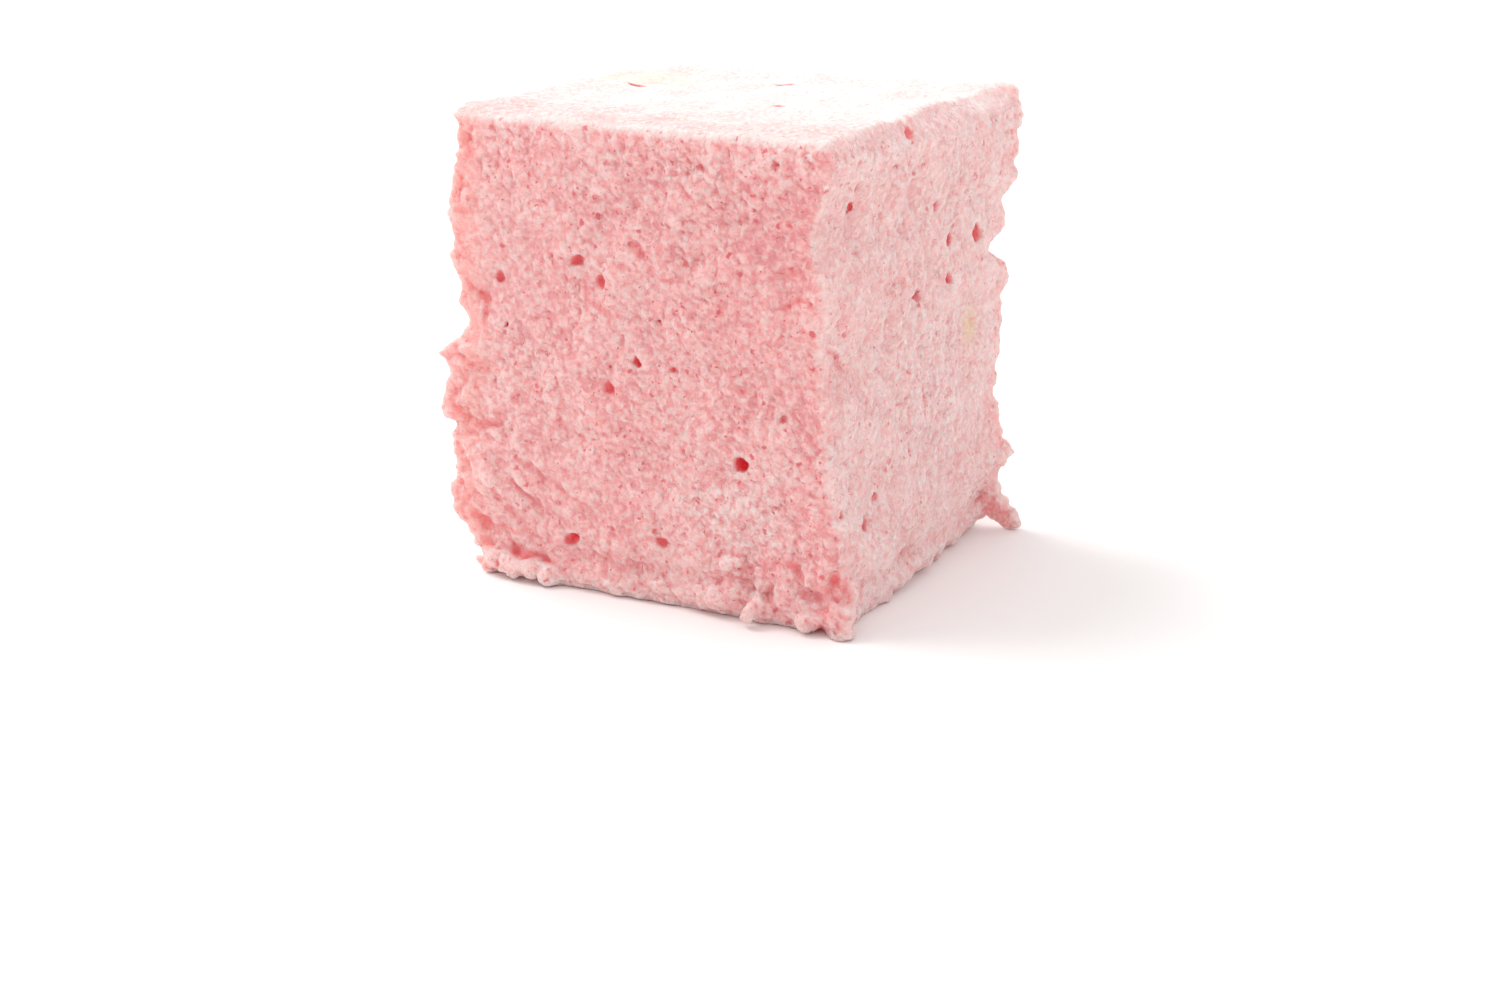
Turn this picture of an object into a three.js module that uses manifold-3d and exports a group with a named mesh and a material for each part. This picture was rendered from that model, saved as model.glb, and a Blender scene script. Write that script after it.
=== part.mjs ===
// One home-made marshmallow: a soft cube cut with a knife from a set slab, all of one piece.
// It has a level top and base, four cut faces that hollow or bulge between ragged edges, burst
// air bubbles, and torn crumbs and flakes along its lower edges.
// Millimetres, +Z up. The origin is the middle of the flat base. The front cut face looks to -Y.
import * as THREE from 'three';
import { mergeVertices } from 'three/addons/utils/BufferGeometryUtils.js';
import Module from 'manifold-3d';

// ---- Driving dimensions
const WIDTH = 31.0; // along X, of the plain block that the cut faces stand out of
const DEPTH = 28.4; // along Y, of the plain block
const HEIGHT = 35.0; // along Z
const EDGE_RADIUS = 0.7; // rounding of every edge of the block
const GRID_STEP = 1.35; // spacing of the surface net
const TRIM = 0.3; // depth of the block's rounded foot that is trimmed off level with the base

// ---- Cut faces: how far each stands out of the plain block (negative: hollow), as
// [height, out] down its two upright edges, and the crown of its middle.
const LEFT_FACE = {
  frontEdge: [[0, -1.3], [1.4, -1.2], [2.2, 0.4], [3, 1.1], [4.4, 1.8], [6.5, 1.8], [9, 1.6],
    [13.5, 2.2], [16.3, 1.9], [19.3, 0.4], [22, 0.9], [24.5, 1.7], [27, 1.1], [29, 0.8], [32, 0.7],
    [HEIGHT, 1.1]],
  backEdge: [[0, -0.5], [4, 0.7], [10, 0.2], [15, 0.9], [21, -0.3], [28, -0.9], [HEIGHT, 0.2]],
  crown: 0.5,
};
const RIGHT_FACE = {
  frontEdge: [[0, -0.3], [4, 0.1], [11, -0.9], [19, -1.8], [24, -1.6], [28.5, -2.3], [31, -1.4],
    [33.4, -0.9], [HEIGHT, -1.3]],
  backEdge: [[0, -1.8], [3.2, -0.3], [6, 0.4], [8, 0.1], [11, -0.3], [16, 0.2], [19, -0.1],
    [22, 0.3], [24.5, 0.4], [26.8, 0.3], [28.5, 0.6], [33.2, 0.6], [HEIGHT, -1.5]],
  crown: 0.3,
};
const FRONT_FACE = {
  leftEdge: [[0, -0.4], [3, 0.1], [12, 0.2], [20, -0.3], [28, 0.1], [HEIGHT, 0.0]],
  rightEdge: [[0, -0.3], [4, 0.2], [14, 0.1], [24, 0.3], [30, 0.1], [HEIGHT, 0.0]],
  crown: 0.35,
};
const BACK_FACE = {
  leftEdge: [[0, -0.5], [5, 0.4], [12, 0.1], [20, -0.6], [29, -0.9], [HEIGHT, 0.1]],
  rightEdge: [[0, -0.9], [4, 0.3], [12, -0.2], [19, -0.6], [28, -0.3], [HEIGHT, 0.2]],
  crown: -0.3,
};
const TOP_DISH = 0.25; // how far the middle of the top sinks
const TOP_TILT = 0.4; // how far the back right corner of the top stands up

// ---- Nicks and lumps in the upright edges: [side along X, side along Y, height, out, spread]
const EDGE_NICKS = [
  [-1, -1, 6.4, 0.5, 0.7],
  [-1, -1, 8.6, -0.4, 0.9],
  [-1, -1, 11.0, -0.5, 0.9],
  [-1, -1, 17.0, 0.9, 0.9],
  [-1, -1, 19.3, -0.5, 1.0],
  [-1, -1, 33.0, -0.3, 0.8],
  [1, 1, 6.2, 1.3, 0.8],
  [1, 1, 20.7, 0.6, 0.9],
  [1, 1, 22.9, -1.6, 0.8],
  [1, 1, 26.4, -0.3, 0.9],
  [1, 1, 28.2, 0.4, 0.7],
  [1, 1, 34.7, 1.9, 1.0],
  [1, -1, 2.9, -0.9, 1.0],
  [1, -1, 31.0, -0.4, 1.2],
];
const NICK_REACH = 2.4; // how far a nick runs in from its edge
const RAGGED_STEP = 2.1; // one small random nick each this far up every upright edge
const RAGGED_OUT = 0.32;
const RAGGED_SPREAD = 0.8;
const RAGGED_SEED = 7;

// ---- Swells: slow unevenness of the whole surface, a sum of waves
const SWELL_COUNT = 16;
const SWELL_SEED = 23;
const SWELL_SHORTEST = 3.4;
const SWELL_LONGEST = 9.5;
const SWELL_HEIGHT = 0.05; // of one wave
const BASE_CALM = 2.0; // the swells die out over this height above the base

// ---- Rolled lip round the foot of the cut faces, with a groove above it
const LIP_OUT = 0.45;
const LIP_HEIGHT = 1.1;
const LIP_SPREAD = 0.8;
const GROOVE_IN = 0.35;
const GROOVE_HEIGHT = 2.7;

// ---- Burst bubbles, each at its spot on the plain block: [across, height, width, height of the
// hole, tilt in degrees]; across is X on the front, Y on the right face; on the top they are
// [x, y, width along X, width along Y, 0]
const FRONT_BUBBLES = [
  [-11.3, 23.2, 0.9, 0.9, 0],
  [-4.1, 25.0, 1.0, 0.7, -30],
  [-2.1, 24.0, 0.8, 1.0, 15],
  [1.1, 26.4, 1.4, 0.8, 10],
  [0.6, 18.1, 0.8, 0.9, 0],
  [-1.4, 16.0, 1.0, 0.8, 0],
  [8.8, 11.7, 1.0, 1.0, -25],
  [-5.7, 3.9, 1.4, 0.9, -20],
  [1.8, 5.0, 0.8, 0.8, 0],
];
const RIGHT_BUBBLES = [
  [-9.8, 29.7, 0.7, 1.1, 20],
  [-2.7, 33.9, 1.0, 0.5, 20],
  [8.7, 24.9, 1.5, 1.6, 0],
  [4.5, 25.1, 0.9, 0.8, 0],
  [3.5, 22.5, 0.8, 0.9, 0],
  [-0.8, 21.9, 0.8, 0.8, 0],
  [-7.4, 8.5, 0.9, 0.8, 0],
  [-13.1, 9.0, 0.9, 0.9, 0],
  [-9.3, 7.1, 1.3, 1.1, 0],
  [9.3, 3.5, 1.5, 1.1, 0],
];
const TOP_BUBBLES = [
  [-9.6, 2.5, 1.5, 1.0, 0],
  [-0.1, 8.6, 1.3, 0.9, 0],
  [3.9, 0.1, 0.9, 0.8, 0],
];
const HIDDEN_BUBBLES = 7; // random ones on each of the left and back faces
const HIDDEN_SEED = 41;
const HIDDEN_SIZE = [0.8, 1.6];
const HIDDEN_MARGIN = 2.5; // kept clear of the edges
const HIDDEN_ROUNDNESS = 0.7; // least height of a hole over its width
const BUBBLE_DEPTH = 1.3; // depth of a bubble over its mean half width
const SMALL_LUMP = 0.5; // half width up to which a ball has the fewest sides

// ---- Torn hollow at the foot of the near edge, and the bay beside the tab
const NEAR_HOLLOW = { at: [15.1, -14.3, 3.4], half: [0.9, 0.8, 1.3] };
const NEAR_BAY = { at: [13.2, -14.9, 0.1], half: [1.5, 1.5, 0.8] };

// ---- Torn crumbs fused along the foot of the front face: [x, height, radius]
const FRONT_CRUMBS = [
  [-14.0, 1.4, 1.1],
  [-12.7, 1.1, 0.9],
  [-11.2, 1.3, 1.0],
  [-9.4, 0.9, 0.9],
  [5.4, 1.4, 0.9],
  [7.2, 2.4, 1.2],
  [8.9, 1.2, 1.2],
  [9.8, 3.4, 0.9],
  [11.2, 2.3, 1.4],
  [12.6, 1.2, 1.0],
];
const HIDDEN_CRUMBS = 3; // random ones at the foot of each of the left and back faces
const CRUMB_SIZE = [0.8, 1.3];
const CRUMB_RISE = [0.9, 2.2];
const CRUMB_SPAN = 0.8; // share of a face's width that they spread over
const CRUMB_SUNK = 0.6; // share of its radius by which a crumb's middle lies behind the face
const CRUMB_SEED = 67;
const KNOBBLY = 0.16; // unevenness of a crumb or bubble, as a share of its radius
const KNOBBLY_SEED = 5;

// ---- Torn flakes: [x, y, z, radius] along each, and the share of that radius across the section's
// thin way (1: round)
const FLAKES = [
  {
    // the hanging flake at the foot of the back right edge
    spine: [[13.2, 12.4, 4.4, 1.5], [14.6, 13.3, 3.6, 1.5], [15.5, 13.8, 2.0, 1.0],
      [16.6, 14.2, 0.6, 0.7]],
    flatness: 0.7,
  },
  {
    // the tab at the foot of the near edge
    spine: [[14.6, -13.4, 2.8, 1.0], [15.2, -13.9, 1.6, 1.05], [15.4, -14.1, 0.3, 0.9]],
    flatness: 0.9,
  },
  {
    // the torn rim on the right of the near hollow
    spine: [[15.0, -12.8, 5.2, 0.4], [15.7, -13.1, 3.6, 0.55], [15.7, -13.5, 1.6, 0.6]],
    flatness: 1.0,
  },
];
const FLAKE_SIDES = 8;
const FLAKE_RINGS = 8;
const MERGE_WITHIN = 1e-5; // points closer than this are one point

const lerp = THREE.MathUtils.lerp;
const clamp = THREE.MathUtils.clamp;

// ---- Seeded random numbers from 0 to 1, by a linear congruential generator
const RANDOM_FACTOR = 1664525;
const RANDOM_STEP = 1013904223;
const RANDOM_RANGE = 2 ** 32;

function randomFrom(seed) {
  let state = seed;
  return function next() {
    state = (Math.imul(state, RANDOM_FACTOR) + RANDOM_STEP) >>> 0;
    return state / RANDOM_RANGE;
  };
}

// ---- A smooth value along a profile of [height, value] points
function profileAt(points, height) {
  let upper = 1;
  while (upper < points.length - 1 && points[upper][0] < height) upper += 1;
  const [startHeight, startValue] = points[upper - 1];
  const [endHeight, endValue] = points[upper];
  return lerp(startValue, endValue, THREE.MathUtils.smoothstep(height, startHeight, endHeight));
}

function bell(distance, spread) {
  return Math.exp(-((distance / spread) ** 2));
}

// ---- How far a cut face stands out at a share across it, from its first edge to its second
function faceOut(firstEdge, secondEdge, crown, across, height) {
  const edges = lerp(profileAt(firstEdge, height), profileAt(secondEdge, height), across);
  const middle = Math.sin(Math.PI * across) * Math.sin((Math.PI * height) / HEIGHT);
  const lip = LIP_OUT * bell(height - LIP_HEIGHT, LIP_SPREAD);
  const groove = GROOVE_IN * bell(height - GROOVE_HEIGHT, LIP_SPREAD);
  return edges + crown * middle + lip - groove;
}

// ---- Named nicks and a small random one at every step up each upright edge
function allNicks() {
  const random = randomFrom(RAGGED_SEED);
  const nicks = [...EDGE_NICKS];
  for (const sideX of [-1, 1]) {
    for (const sideY of [-1, 1]) {
      for (let height = RAGGED_STEP; height < HEIGHT; height += RAGGED_STEP) {
        const out = lerp(-RAGGED_OUT, RAGGED_OUT, random());
        nicks.push([sideX, sideY, height + RAGGED_STEP * (random() - 0.5), out, RAGGED_SPREAD]);
      }
    }
  }
  return nicks;
}

const NICKS = allNicks();

// ---- Outward push along the diagonal at each upright edge
function nickPush(point) {
  const push = new THREE.Vector2(0, 0);
  for (const [sideX, sideY, height, out, spread] of NICKS) {
    const away = Math.hypot(point.x - (sideX * WIDTH) / 2, point.y - (sideY * DEPTH) / 2);
    const size = out * bell(point.z - height, spread) * bell(away, NICK_REACH) * Math.SQRT1_2;
    push.x += sideX * size;
    push.y += sideY * size;
  }
  return push;
}

// ---- Waves of random direction, length and phase
function makeSwells() {
  const random = randomFrom(SWELL_SEED);
  const swells = [];
  for (let index = 0; index < SWELL_COUNT; index += 1) {
    const length = lerp(SWELL_SHORTEST, SWELL_LONGEST, index / (SWELL_COUNT - 1));
    const turn = 2 * Math.PI * random();
    const rise = 2 * random() - 1;
    const flat = Math.sqrt(1 - rise * rise);
    const direction = new THREE.Vector3(flat * Math.cos(turn), flat * Math.sin(turn), rise);
    swells.push({ wave: direction.multiplyScalar((2 * Math.PI) / length), phase: 2 * Math.PI * random() });
  }
  return swells;
}

const SWELLS = makeSwells();

function swellAt(point) {
  let height = 0;
  for (const swell of SWELLS) height += Math.sin(swell.wave.dot(point) + swell.phase);
  return SWELL_HEIGHT * height;
}

// ---- Moves a point of the plain rounded block to its place on the marshmallow
function shapePoint(point) {
  const acrossX = clamp(point.x / WIDTH + 0.5, 0, 1);
  const acrossY = clamp(point.y / DEPTH + 0.5, 0, 1);
  const rise = clamp(point.z / HEIGHT, 0, 1);
  const leftOut = faceOut(LEFT_FACE.frontEdge, LEFT_FACE.backEdge, LEFT_FACE.crown, acrossY, point.z);
  const rightOut = faceOut(RIGHT_FACE.frontEdge, RIGHT_FACE.backEdge, RIGHT_FACE.crown, acrossY, point.z);
  const frontOut = faceOut(FRONT_FACE.leftEdge, FRONT_FACE.rightEdge, FRONT_FACE.crown, acrossX, point.z);
  const backOut = faceOut(BACK_FACE.leftEdge, BACK_FACE.rightEdge, BACK_FACE.crown, acrossX, point.z);
  const dish = TOP_DISH * Math.sin(Math.PI * acrossX) * Math.sin(Math.PI * acrossY);
  const tilt = TOP_TILT * acrossX * acrossY;
  const nick = nickPush(point);
  return new THREE.Vector3(
    point.x + lerp(-leftOut, rightOut, acrossX) + nick.x,
    point.y + lerp(-frontOut, backOut, acrossY) + nick.y,
    point.z + (tilt - dish) * rise,
  );
}

// ---- Takes a point on the plain box to the surface: rounded at the edges, swelled and shaped
const CORE_LOW = new THREE.Vector3(EDGE_RADIUS - WIDTH / 2, EDGE_RADIUS - DEPTH / 2, EDGE_RADIUS - TRIM);
const CORE_HIGH = new THREE.Vector3(WIDTH / 2 - EDGE_RADIUS, DEPTH / 2 - EDGE_RADIUS, HEIGHT - EDGE_RADIUS);

function surfaceFrom(plain) {
  const core = plain.clone().clamp(CORE_LOW, CORE_HIGH);
  const outward = plain.clone().sub(core).normalize();
  const rounded = core.addScaledVector(outward, EDGE_RADIUS);
  const calm = THREE.MathUtils.smoothstep(rounded.z, 0, BASE_CALM);
  return shapePoint(rounded.addScaledVector(outward, swellAt(rounded) * calm));
}

// ---- A geometry left with positions alone, its shared points merged
function positionsOnly(geometry) {
  geometry.deleteAttribute('normal');
  geometry.deleteAttribute('uv');
  return mergeVertices(geometry, MERGE_WITHIN);
}

// ---- The block: a box net with every point taken to the surface
function blockGeometry() {
  const geometry = new THREE.BoxGeometry(
    WIDTH, DEPTH, HEIGHT + TRIM,
    Math.round(WIDTH / GRID_STEP), Math.round(DEPTH / GRID_STEP), Math.round(HEIGHT / GRID_STEP),
  );
  geometry.translate(0, 0, (HEIGHT - TRIM) / 2);
  const positions = geometry.getAttribute('position');
  for (let index = 0; index < positions.count; index += 1) {
    const placed = surfaceFrom(new THREE.Vector3().fromBufferAttribute(positions, index));
    positions.setXYZ(index, placed.x, placed.y, placed.z);
  }
  return geometry;
}

// ---- A knobbly ball, squeezed to its three half widths and tilted about the axis it looks along
const knobs = randomFrom(KNOBBLY_SEED);

function lumpGeometry(halfWidths, tilt, axis) {
  const detail = Math.max(...halfWidths) > SMALL_LUMP ? 1 : 0;
  const geometry = positionsOnly(new THREE.IcosahedronGeometry(1, detail));
  const positions = geometry.getAttribute('position');
  for (let index = 0; index < positions.count; index += 1) {
    const point = new THREE.Vector3().fromBufferAttribute(positions, index);
    point.multiplyScalar(1 + KNOBBLY * (2 * knobs() - 1));
    positions.setXYZ(index, point.x, point.y, point.z);
  }
  geometry.scale(...halfWidths);
  geometry.applyMatrix4(new THREE.Matrix4().makeRotationAxis(axis, THREE.MathUtils.degToRad(tilt)));
  return geometry;
}

// ---- A flake: a ball drawn out along a curved spine, with its own radius at each point
function flakeGeometry({ spine, flatness }) {
  const curve = new THREE.CatmullRomCurve3(spine.map(([x, y, z]) => new THREE.Vector3(x, y, z)));
  const geometry = new THREE.SphereGeometry(1, FLAKE_SIDES, FLAKE_RINGS);
  const positions = geometry.getAttribute('position');
  const turned = new THREE.Quaternion();
  const upright = new THREE.Vector3(0, 1, 0);
  for (let index = 0; index < positions.count; index += 1) {
    const unit = new THREE.Vector3().fromBufferAttribute(positions, index);
    const along = clamp(0.5 + unit.y / 2, 0, 1);
    const place = along * (spine.length - 1);
    const from = Math.min(Math.floor(place), spine.length - 2);
    const radius = lerp(spine[from][3], spine[from + 1][3], place - from);
    turned.setFromUnitVectors(upright, curve.getTangent(along));
    const ring = new THREE.Vector3(unit.x * radius, 0, unit.z * radius * flatness);
    const centre = curve.getPoint(along).add(ring.applyQuaternion(turned));
    positions.setXYZ(index, centre.x, centre.y, centre.z);
  }
  return geometry;
}

const wasm = await Module();
wasm.setup();

// ---- Closed solids from geometries, and back
function solidFrom(geometry) {
  const merged = positionsOnly(geometry);
  const vertProperties = new Float32Array(merged.getAttribute('position').array);
  const triVerts = new Uint32Array(merged.getIndex().array);
  return new wasm.Manifold(new wasm.Mesh({ numProp: 3, vertProperties, triVerts }));
}

function geometryFrom(solid) {
  const mesh = solid.getMesh();
  const geometry = new THREE.BufferGeometry();
  geometry.setAttribute('position', new THREE.BufferAttribute(new Float32Array(mesh.vertProperties), 3));
  geometry.setIndex(new THREE.BufferAttribute(new Uint32Array(mesh.triVerts), 1));
  geometry.computeVertexNormals();
  return geometry;
}

// ---- Where a spot of a plain face comes to lie
function spotOn(plainX, plainY, plainZ) {
  return surfaceFrom(new THREE.Vector3(plainX, plainY, plainZ));
}

function lumpAt(place, halfWidths, tilt, axis) {
  const geometry = lumpGeometry(halfWidths, tilt, axis);
  geometry.translate(place.x, place.y, place.z);
  return solidFrom(geometry);
}

// ---- Bubbles on the faces that look along X, Y and Z
function bubbleSolids() {
  const alongX = new THREE.Vector3(1, 0, 0);
  const alongY = new THREE.Vector3(0, 1, 0);
  const alongZ = new THREE.Vector3(0, 0, 1);
  const bubbles = [];
  function addOnFrontOrBack(side, [x, height, wide, tall, tilt]) {
    const half = [wide / 2, (BUBBLE_DEPTH * (wide + tall)) / 4, tall / 2];
    bubbles.push(lumpAt(spotOn(x, (side * DEPTH) / 2, height), half, tilt, alongY));
  }
  function addOnLeftOrRight(side, [y, height, wide, tall, tilt]) {
    const half = [(BUBBLE_DEPTH * (wide + tall)) / 4, wide / 2, tall / 2];
    bubbles.push(lumpAt(spotOn((side * WIDTH) / 2, y, height), half, tilt, alongX));
  }
  for (const bubble of FRONT_BUBBLES) addOnFrontOrBack(-1, bubble);
  for (const bubble of RIGHT_BUBBLES) addOnLeftOrRight(1, bubble);
  for (const [x, y, wide, deep] of TOP_BUBBLES) {
    const half = [wide / 2, deep / 2, (BUBBLE_DEPTH * (wide + deep)) / 4];
    bubbles.push(lumpAt(spotOn(x, y, HEIGHT), half, 0, alongZ));
  }
  const random = randomFrom(HIDDEN_SEED);
  function randomBubble(span) {
    const across = lerp(HIDDEN_MARGIN - span / 2, span / 2 - HIDDEN_MARGIN, random());
    const height = lerp(HIDDEN_MARGIN, HEIGHT - HIDDEN_MARGIN, random());
    const wide = lerp(...HIDDEN_SIZE, random() ** 2);
    return [across, height, wide, wide * lerp(HIDDEN_ROUNDNESS, 1, random()), 180 * random()];
  }
  for (let index = 0; index < HIDDEN_BUBBLES; index += 1) {
    addOnLeftOrRight(-1, randomBubble(DEPTH));
    addOnFrontOrBack(1, randomBubble(WIDTH));
  }
  return bubbles;
}

// ---- Crumbs and flakes to fuse on
function tornSolids() {
  const alongZ = new THREE.Vector3(0, 0, 1);
  const torn = FLAKES.map((flake) => solidFrom(flakeGeometry(flake)));
  function addCrumb(plainX, plainY, outX, outY, [height, radius]) {
    const place = spotOn(plainX, plainY, height);
    place.x -= outX * radius * CRUMB_SUNK;
    place.y -= outY * radius * CRUMB_SUNK;
    torn.push(lumpAt(place, [radius, radius, radius], 0, alongZ));
  }
  for (const [x, ...crumb] of FRONT_CRUMBS) addCrumb(x, -DEPTH / 2, 0, -1, crumb);
  const random = randomFrom(CRUMB_SEED);
  for (let index = 0; index < HIDDEN_CRUMBS; index += 1) {
    for (const [outX, outY] of [[-1, 0], [0, 1]]) {
      const along = CRUMB_SPAN * (random() - 0.5);
      const plainX = outX === 0 ? WIDTH * along : (outX * WIDTH) / 2;
      const plainY = outY === 0 ? DEPTH * along : (outY * DEPTH) / 2;
      addCrumb(plainX, plainY, outX, outY, [lerp(...CRUMB_RISE, random()), lerp(...CRUMB_SIZE, random())]);
    }
  }
  return torn;
}

function hollowSolids() {
  const alongZ = new THREE.Vector3(0, 0, 1);
  return [NEAR_HOLLOW, NEAR_BAY].map(({ at, half }) => lumpAt(new THREE.Vector3(...at), half, 0, alongZ));
}

// ---- Everything below the base plane, to be trimmed off
function underBase() {
  const geometry = new THREE.BoxGeometry(2 * WIDTH, 2 * DEPTH, HEIGHT);
  geometry.translate(0, 0, -HEIGHT / 2);
  return solidFrom(geometry);
}

function marshmallowGeometry() {
  let solid = solidFrom(blockGeometry());
  for (const hollow of hollowSolids()) solid = solid.subtract(hollow);
  for (const torn of tornSolids()) solid = solid.add(torn);
  for (const bubble of bubbleSolids()) solid = solid.subtract(bubble);
  return geometryFrom(solid.subtract(underBase()));
}

const pinkFoam = new THREE.MeshStandardMaterial({ color: '#f0aaaa', roughness: 0.92, metalness: 0 });

const marshmallow = new THREE.Mesh(marshmallowGeometry(), pinkFoam);
marshmallow.name = 'marshmallow';

const group = new THREE.Group();
group.add(marshmallow);

export default group;
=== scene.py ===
import math

import bpy
import numpy as np
from mathutils import Matrix, Vector


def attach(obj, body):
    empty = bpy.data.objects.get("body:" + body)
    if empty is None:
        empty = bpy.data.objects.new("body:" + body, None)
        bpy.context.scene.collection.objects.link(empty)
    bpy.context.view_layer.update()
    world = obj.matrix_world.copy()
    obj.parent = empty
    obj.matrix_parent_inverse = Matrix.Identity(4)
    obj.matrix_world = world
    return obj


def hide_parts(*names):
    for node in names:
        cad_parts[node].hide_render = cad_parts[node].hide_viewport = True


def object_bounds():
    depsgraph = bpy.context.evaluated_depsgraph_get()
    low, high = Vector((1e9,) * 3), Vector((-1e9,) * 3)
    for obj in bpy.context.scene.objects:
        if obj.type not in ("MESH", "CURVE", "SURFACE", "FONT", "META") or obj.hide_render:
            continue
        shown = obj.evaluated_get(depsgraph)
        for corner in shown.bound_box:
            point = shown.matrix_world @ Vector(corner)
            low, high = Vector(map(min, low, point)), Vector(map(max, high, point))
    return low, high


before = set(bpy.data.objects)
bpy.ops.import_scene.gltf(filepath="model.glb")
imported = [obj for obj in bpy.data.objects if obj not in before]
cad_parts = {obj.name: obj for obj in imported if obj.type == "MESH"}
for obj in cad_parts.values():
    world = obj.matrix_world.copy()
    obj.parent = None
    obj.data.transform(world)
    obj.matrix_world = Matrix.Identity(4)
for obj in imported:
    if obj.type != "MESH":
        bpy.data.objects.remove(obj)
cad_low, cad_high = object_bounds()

MM = 0.001  # metres in a millimetre

# ---- Block, as in the solid
WIDTH = 31.0
DEPTH = 28.4
HEIGHT = 35.0
EDGE_RADIUS = 0.7
CRISP_RADIUS = 0.4  # of the edges of the finer mesh
TRIM = 0.3  # the rounded foot trimmed off level with the base

# ---- Cut faces: [height, out] down the two upright edges, and the crown of the middle
LEFT_FACE = (
    [[0, -1.3], [1.4, -1.2], [2.2, 0.4], [3, 1.1], [4.4, 1.8], [6.5, 1.8], [9, 1.6], [13.5, 2.2],
     [16.3, 1.9], [19.3, 0.4], [22, 0.9], [24.5, 1.7], [27, 1.1], [29, 0.8], [32, 0.7], [HEIGHT, 1.1]],
    [[0, -0.5], [4, 0.7], [10, 0.2], [15, 0.9], [21, -0.3], [28, -0.9], [HEIGHT, 0.2]],
    0.5,
)
RIGHT_FACE = (
    [[0, -0.3], [4, 0.1], [11, -0.9], [19, -1.8], [24, -1.6], [28.5, -2.3], [31, -1.4], [33.4, -0.9],
     [HEIGHT, -1.3]],
    [[0, -1.8], [3.2, -0.3], [6, 0.4], [8, 0.1], [11, -0.3], [16, 0.2], [19, -0.1], [22, 0.3],
     [24.5, 0.4], [26.8, 0.3], [28.5, 0.6], [33.2, 0.6], [HEIGHT, -1.5]],
    0.3,
)
FRONT_FACE = (
    [[0, -0.4], [3, 0.1], [12, 0.2], [20, -0.3], [28, 0.1], [HEIGHT, 0]],
    [[0, -0.3], [4, 0.2], [14, 0.1], [24, 0.3], [30, 0.1], [HEIGHT, 0]],
    0.35,
)
BACK_FACE = (
    [[0, -0.5], [5, 0.4], [12, 0.1], [20, -0.6], [29, -0.9], [HEIGHT, 0.1]],
    [[0, -0.9], [4, 0.3], [12, -0.2], [19, -0.6], [28, -0.3], [HEIGHT, 0.2]],
    -0.3,
)
TOP_DISH, TOP_TILT = 0.25, 0.4
LIP_OUT, LIP_HEIGHT, LIP_SPREAD = 0.45, 1.1, 0.8
GROOVE_IN, GROOVE_HEIGHT = 0.35, 2.7

# ---- Nicks in the upright edges: [side along X, side along Y, height, out, spread]
EDGE_NICKS = [
    [-1, -1, 6.4, 0.5, 0.7], [-1, -1, 8.6, -0.4, 0.9], [-1, -1, 11, -0.5, 0.9],
    [-1, -1, 17, 0.9, 0.9], [-1, -1, 19.3, -0.5, 1], [-1, -1, 33, -0.3, 0.8],
    [1, 1, 6.2, 1.3, 0.8], [1, 1, 20.7, 0.6, 0.9], [1, 1, 22.9, -1.6, 0.8],
    [1, 1, 26.4, -0.3, 0.9], [1, 1, 28.2, 0.4, 0.7], [1, 1, 34.7, 1.9, 1], [1, -1, 2.9, -0.9, 1],
    [1, -1, 31, -0.4, 1.2],
]
NICK_REACH = 2.4
RAGGED_STEP, RAGGED_OUT, RAGGED_SPREAD, RAGGED_SEED = 2.1, 0.2, 0.8, 7

# ---- Swells of the whole surface
SWELL_COUNT, SWELL_SEED = 16, 23
SWELL_SHORTEST, SWELL_LONGEST, SWELL_HEIGHT = 3.4, 9.5, 0.05
BASE_CALM = 2.0  # height over which they set in above the base
PLAIN_ROUNDS = 3  # of the search that takes a place back to the plain block

# ---- Burst bubbles on the plain block: [across, height, width, height of the hole], where they
# differ also their tilt in degrees and how much deeper they are; on the top the first two are x, y
FRONT_BUBBLES = [
    [-11.3, 23.2, 0.9, 0.9], [-4.1, 25, 1, 0.7, -30, 1.1], [-2.1, 24, 0.9, 1.1, 15, 1.3],
    [1.1, 26.4, 1.3, 0.7, 10, 0.5], [0.6, 18.1, 0.8, 0.9, 0, 1.4], [-1.4, 16, 1, 0.8, 0, 0.9],
    [8.8, 11.7, 1, 1, -25, 2.4], [-5.7, 3.9, 1.4, 0.9, -20, 1.5], [1.8, 5, 0.8, 0.8, 0, 1.2],
    [5.5, 32.5, 0.6, 0.6, 0, 1.5], [11.2, 33.5, 0.5, 0.6], [-6.3, 25.4, 0.7, 0.5],
    [-11.4, 19.5, 0.5, 0.5, 0, 1.4], [2.2, 21.2, 0.5, 0.5, 0, 1.4], [3.7, 18.1, 0.5, 0.45, 0, 1.3],
    [12.4, 15.6, 0.7, 0.5, -20], [-1.6, 17.5, 0.45, 0.45], [1.9, 15.7, 0.4, 0.4],
]
RIGHT_BUBBLES = [
    [-9.8, 29.7, 0.6, 0.9, 20, 0.5], [-2.7, 33.9, 1, 0.5, 20], [8.7, 24.9, 1.5, 1.6, 0, 1],
    [4.5, 25.1, 0.9, 0.8], [3.5, 22.5, 0.8, 0.9], [-0.8, 21.9, 0.8, 0.8],
    [-7.4, 8.5, 0.9, 0.8, 0, 0.6], [-13.1, 9, 0.7, 0.7, 0, 0.5], [-9.3, 7.1, 1.3, 1.1, 0, 0.5],
    [9.3, 3.5, 1.5, 1.1], [-10.1, 31.4, 0.6, 0.7], [-10.8, 33.1, 0.8, 0.6],
    [2.2, 27.9, 0.7, 0.7], [-2.1, 16.6, 0.6, 0.6], [-2.9, 31.8, 0.45, 0.45],
]
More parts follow.
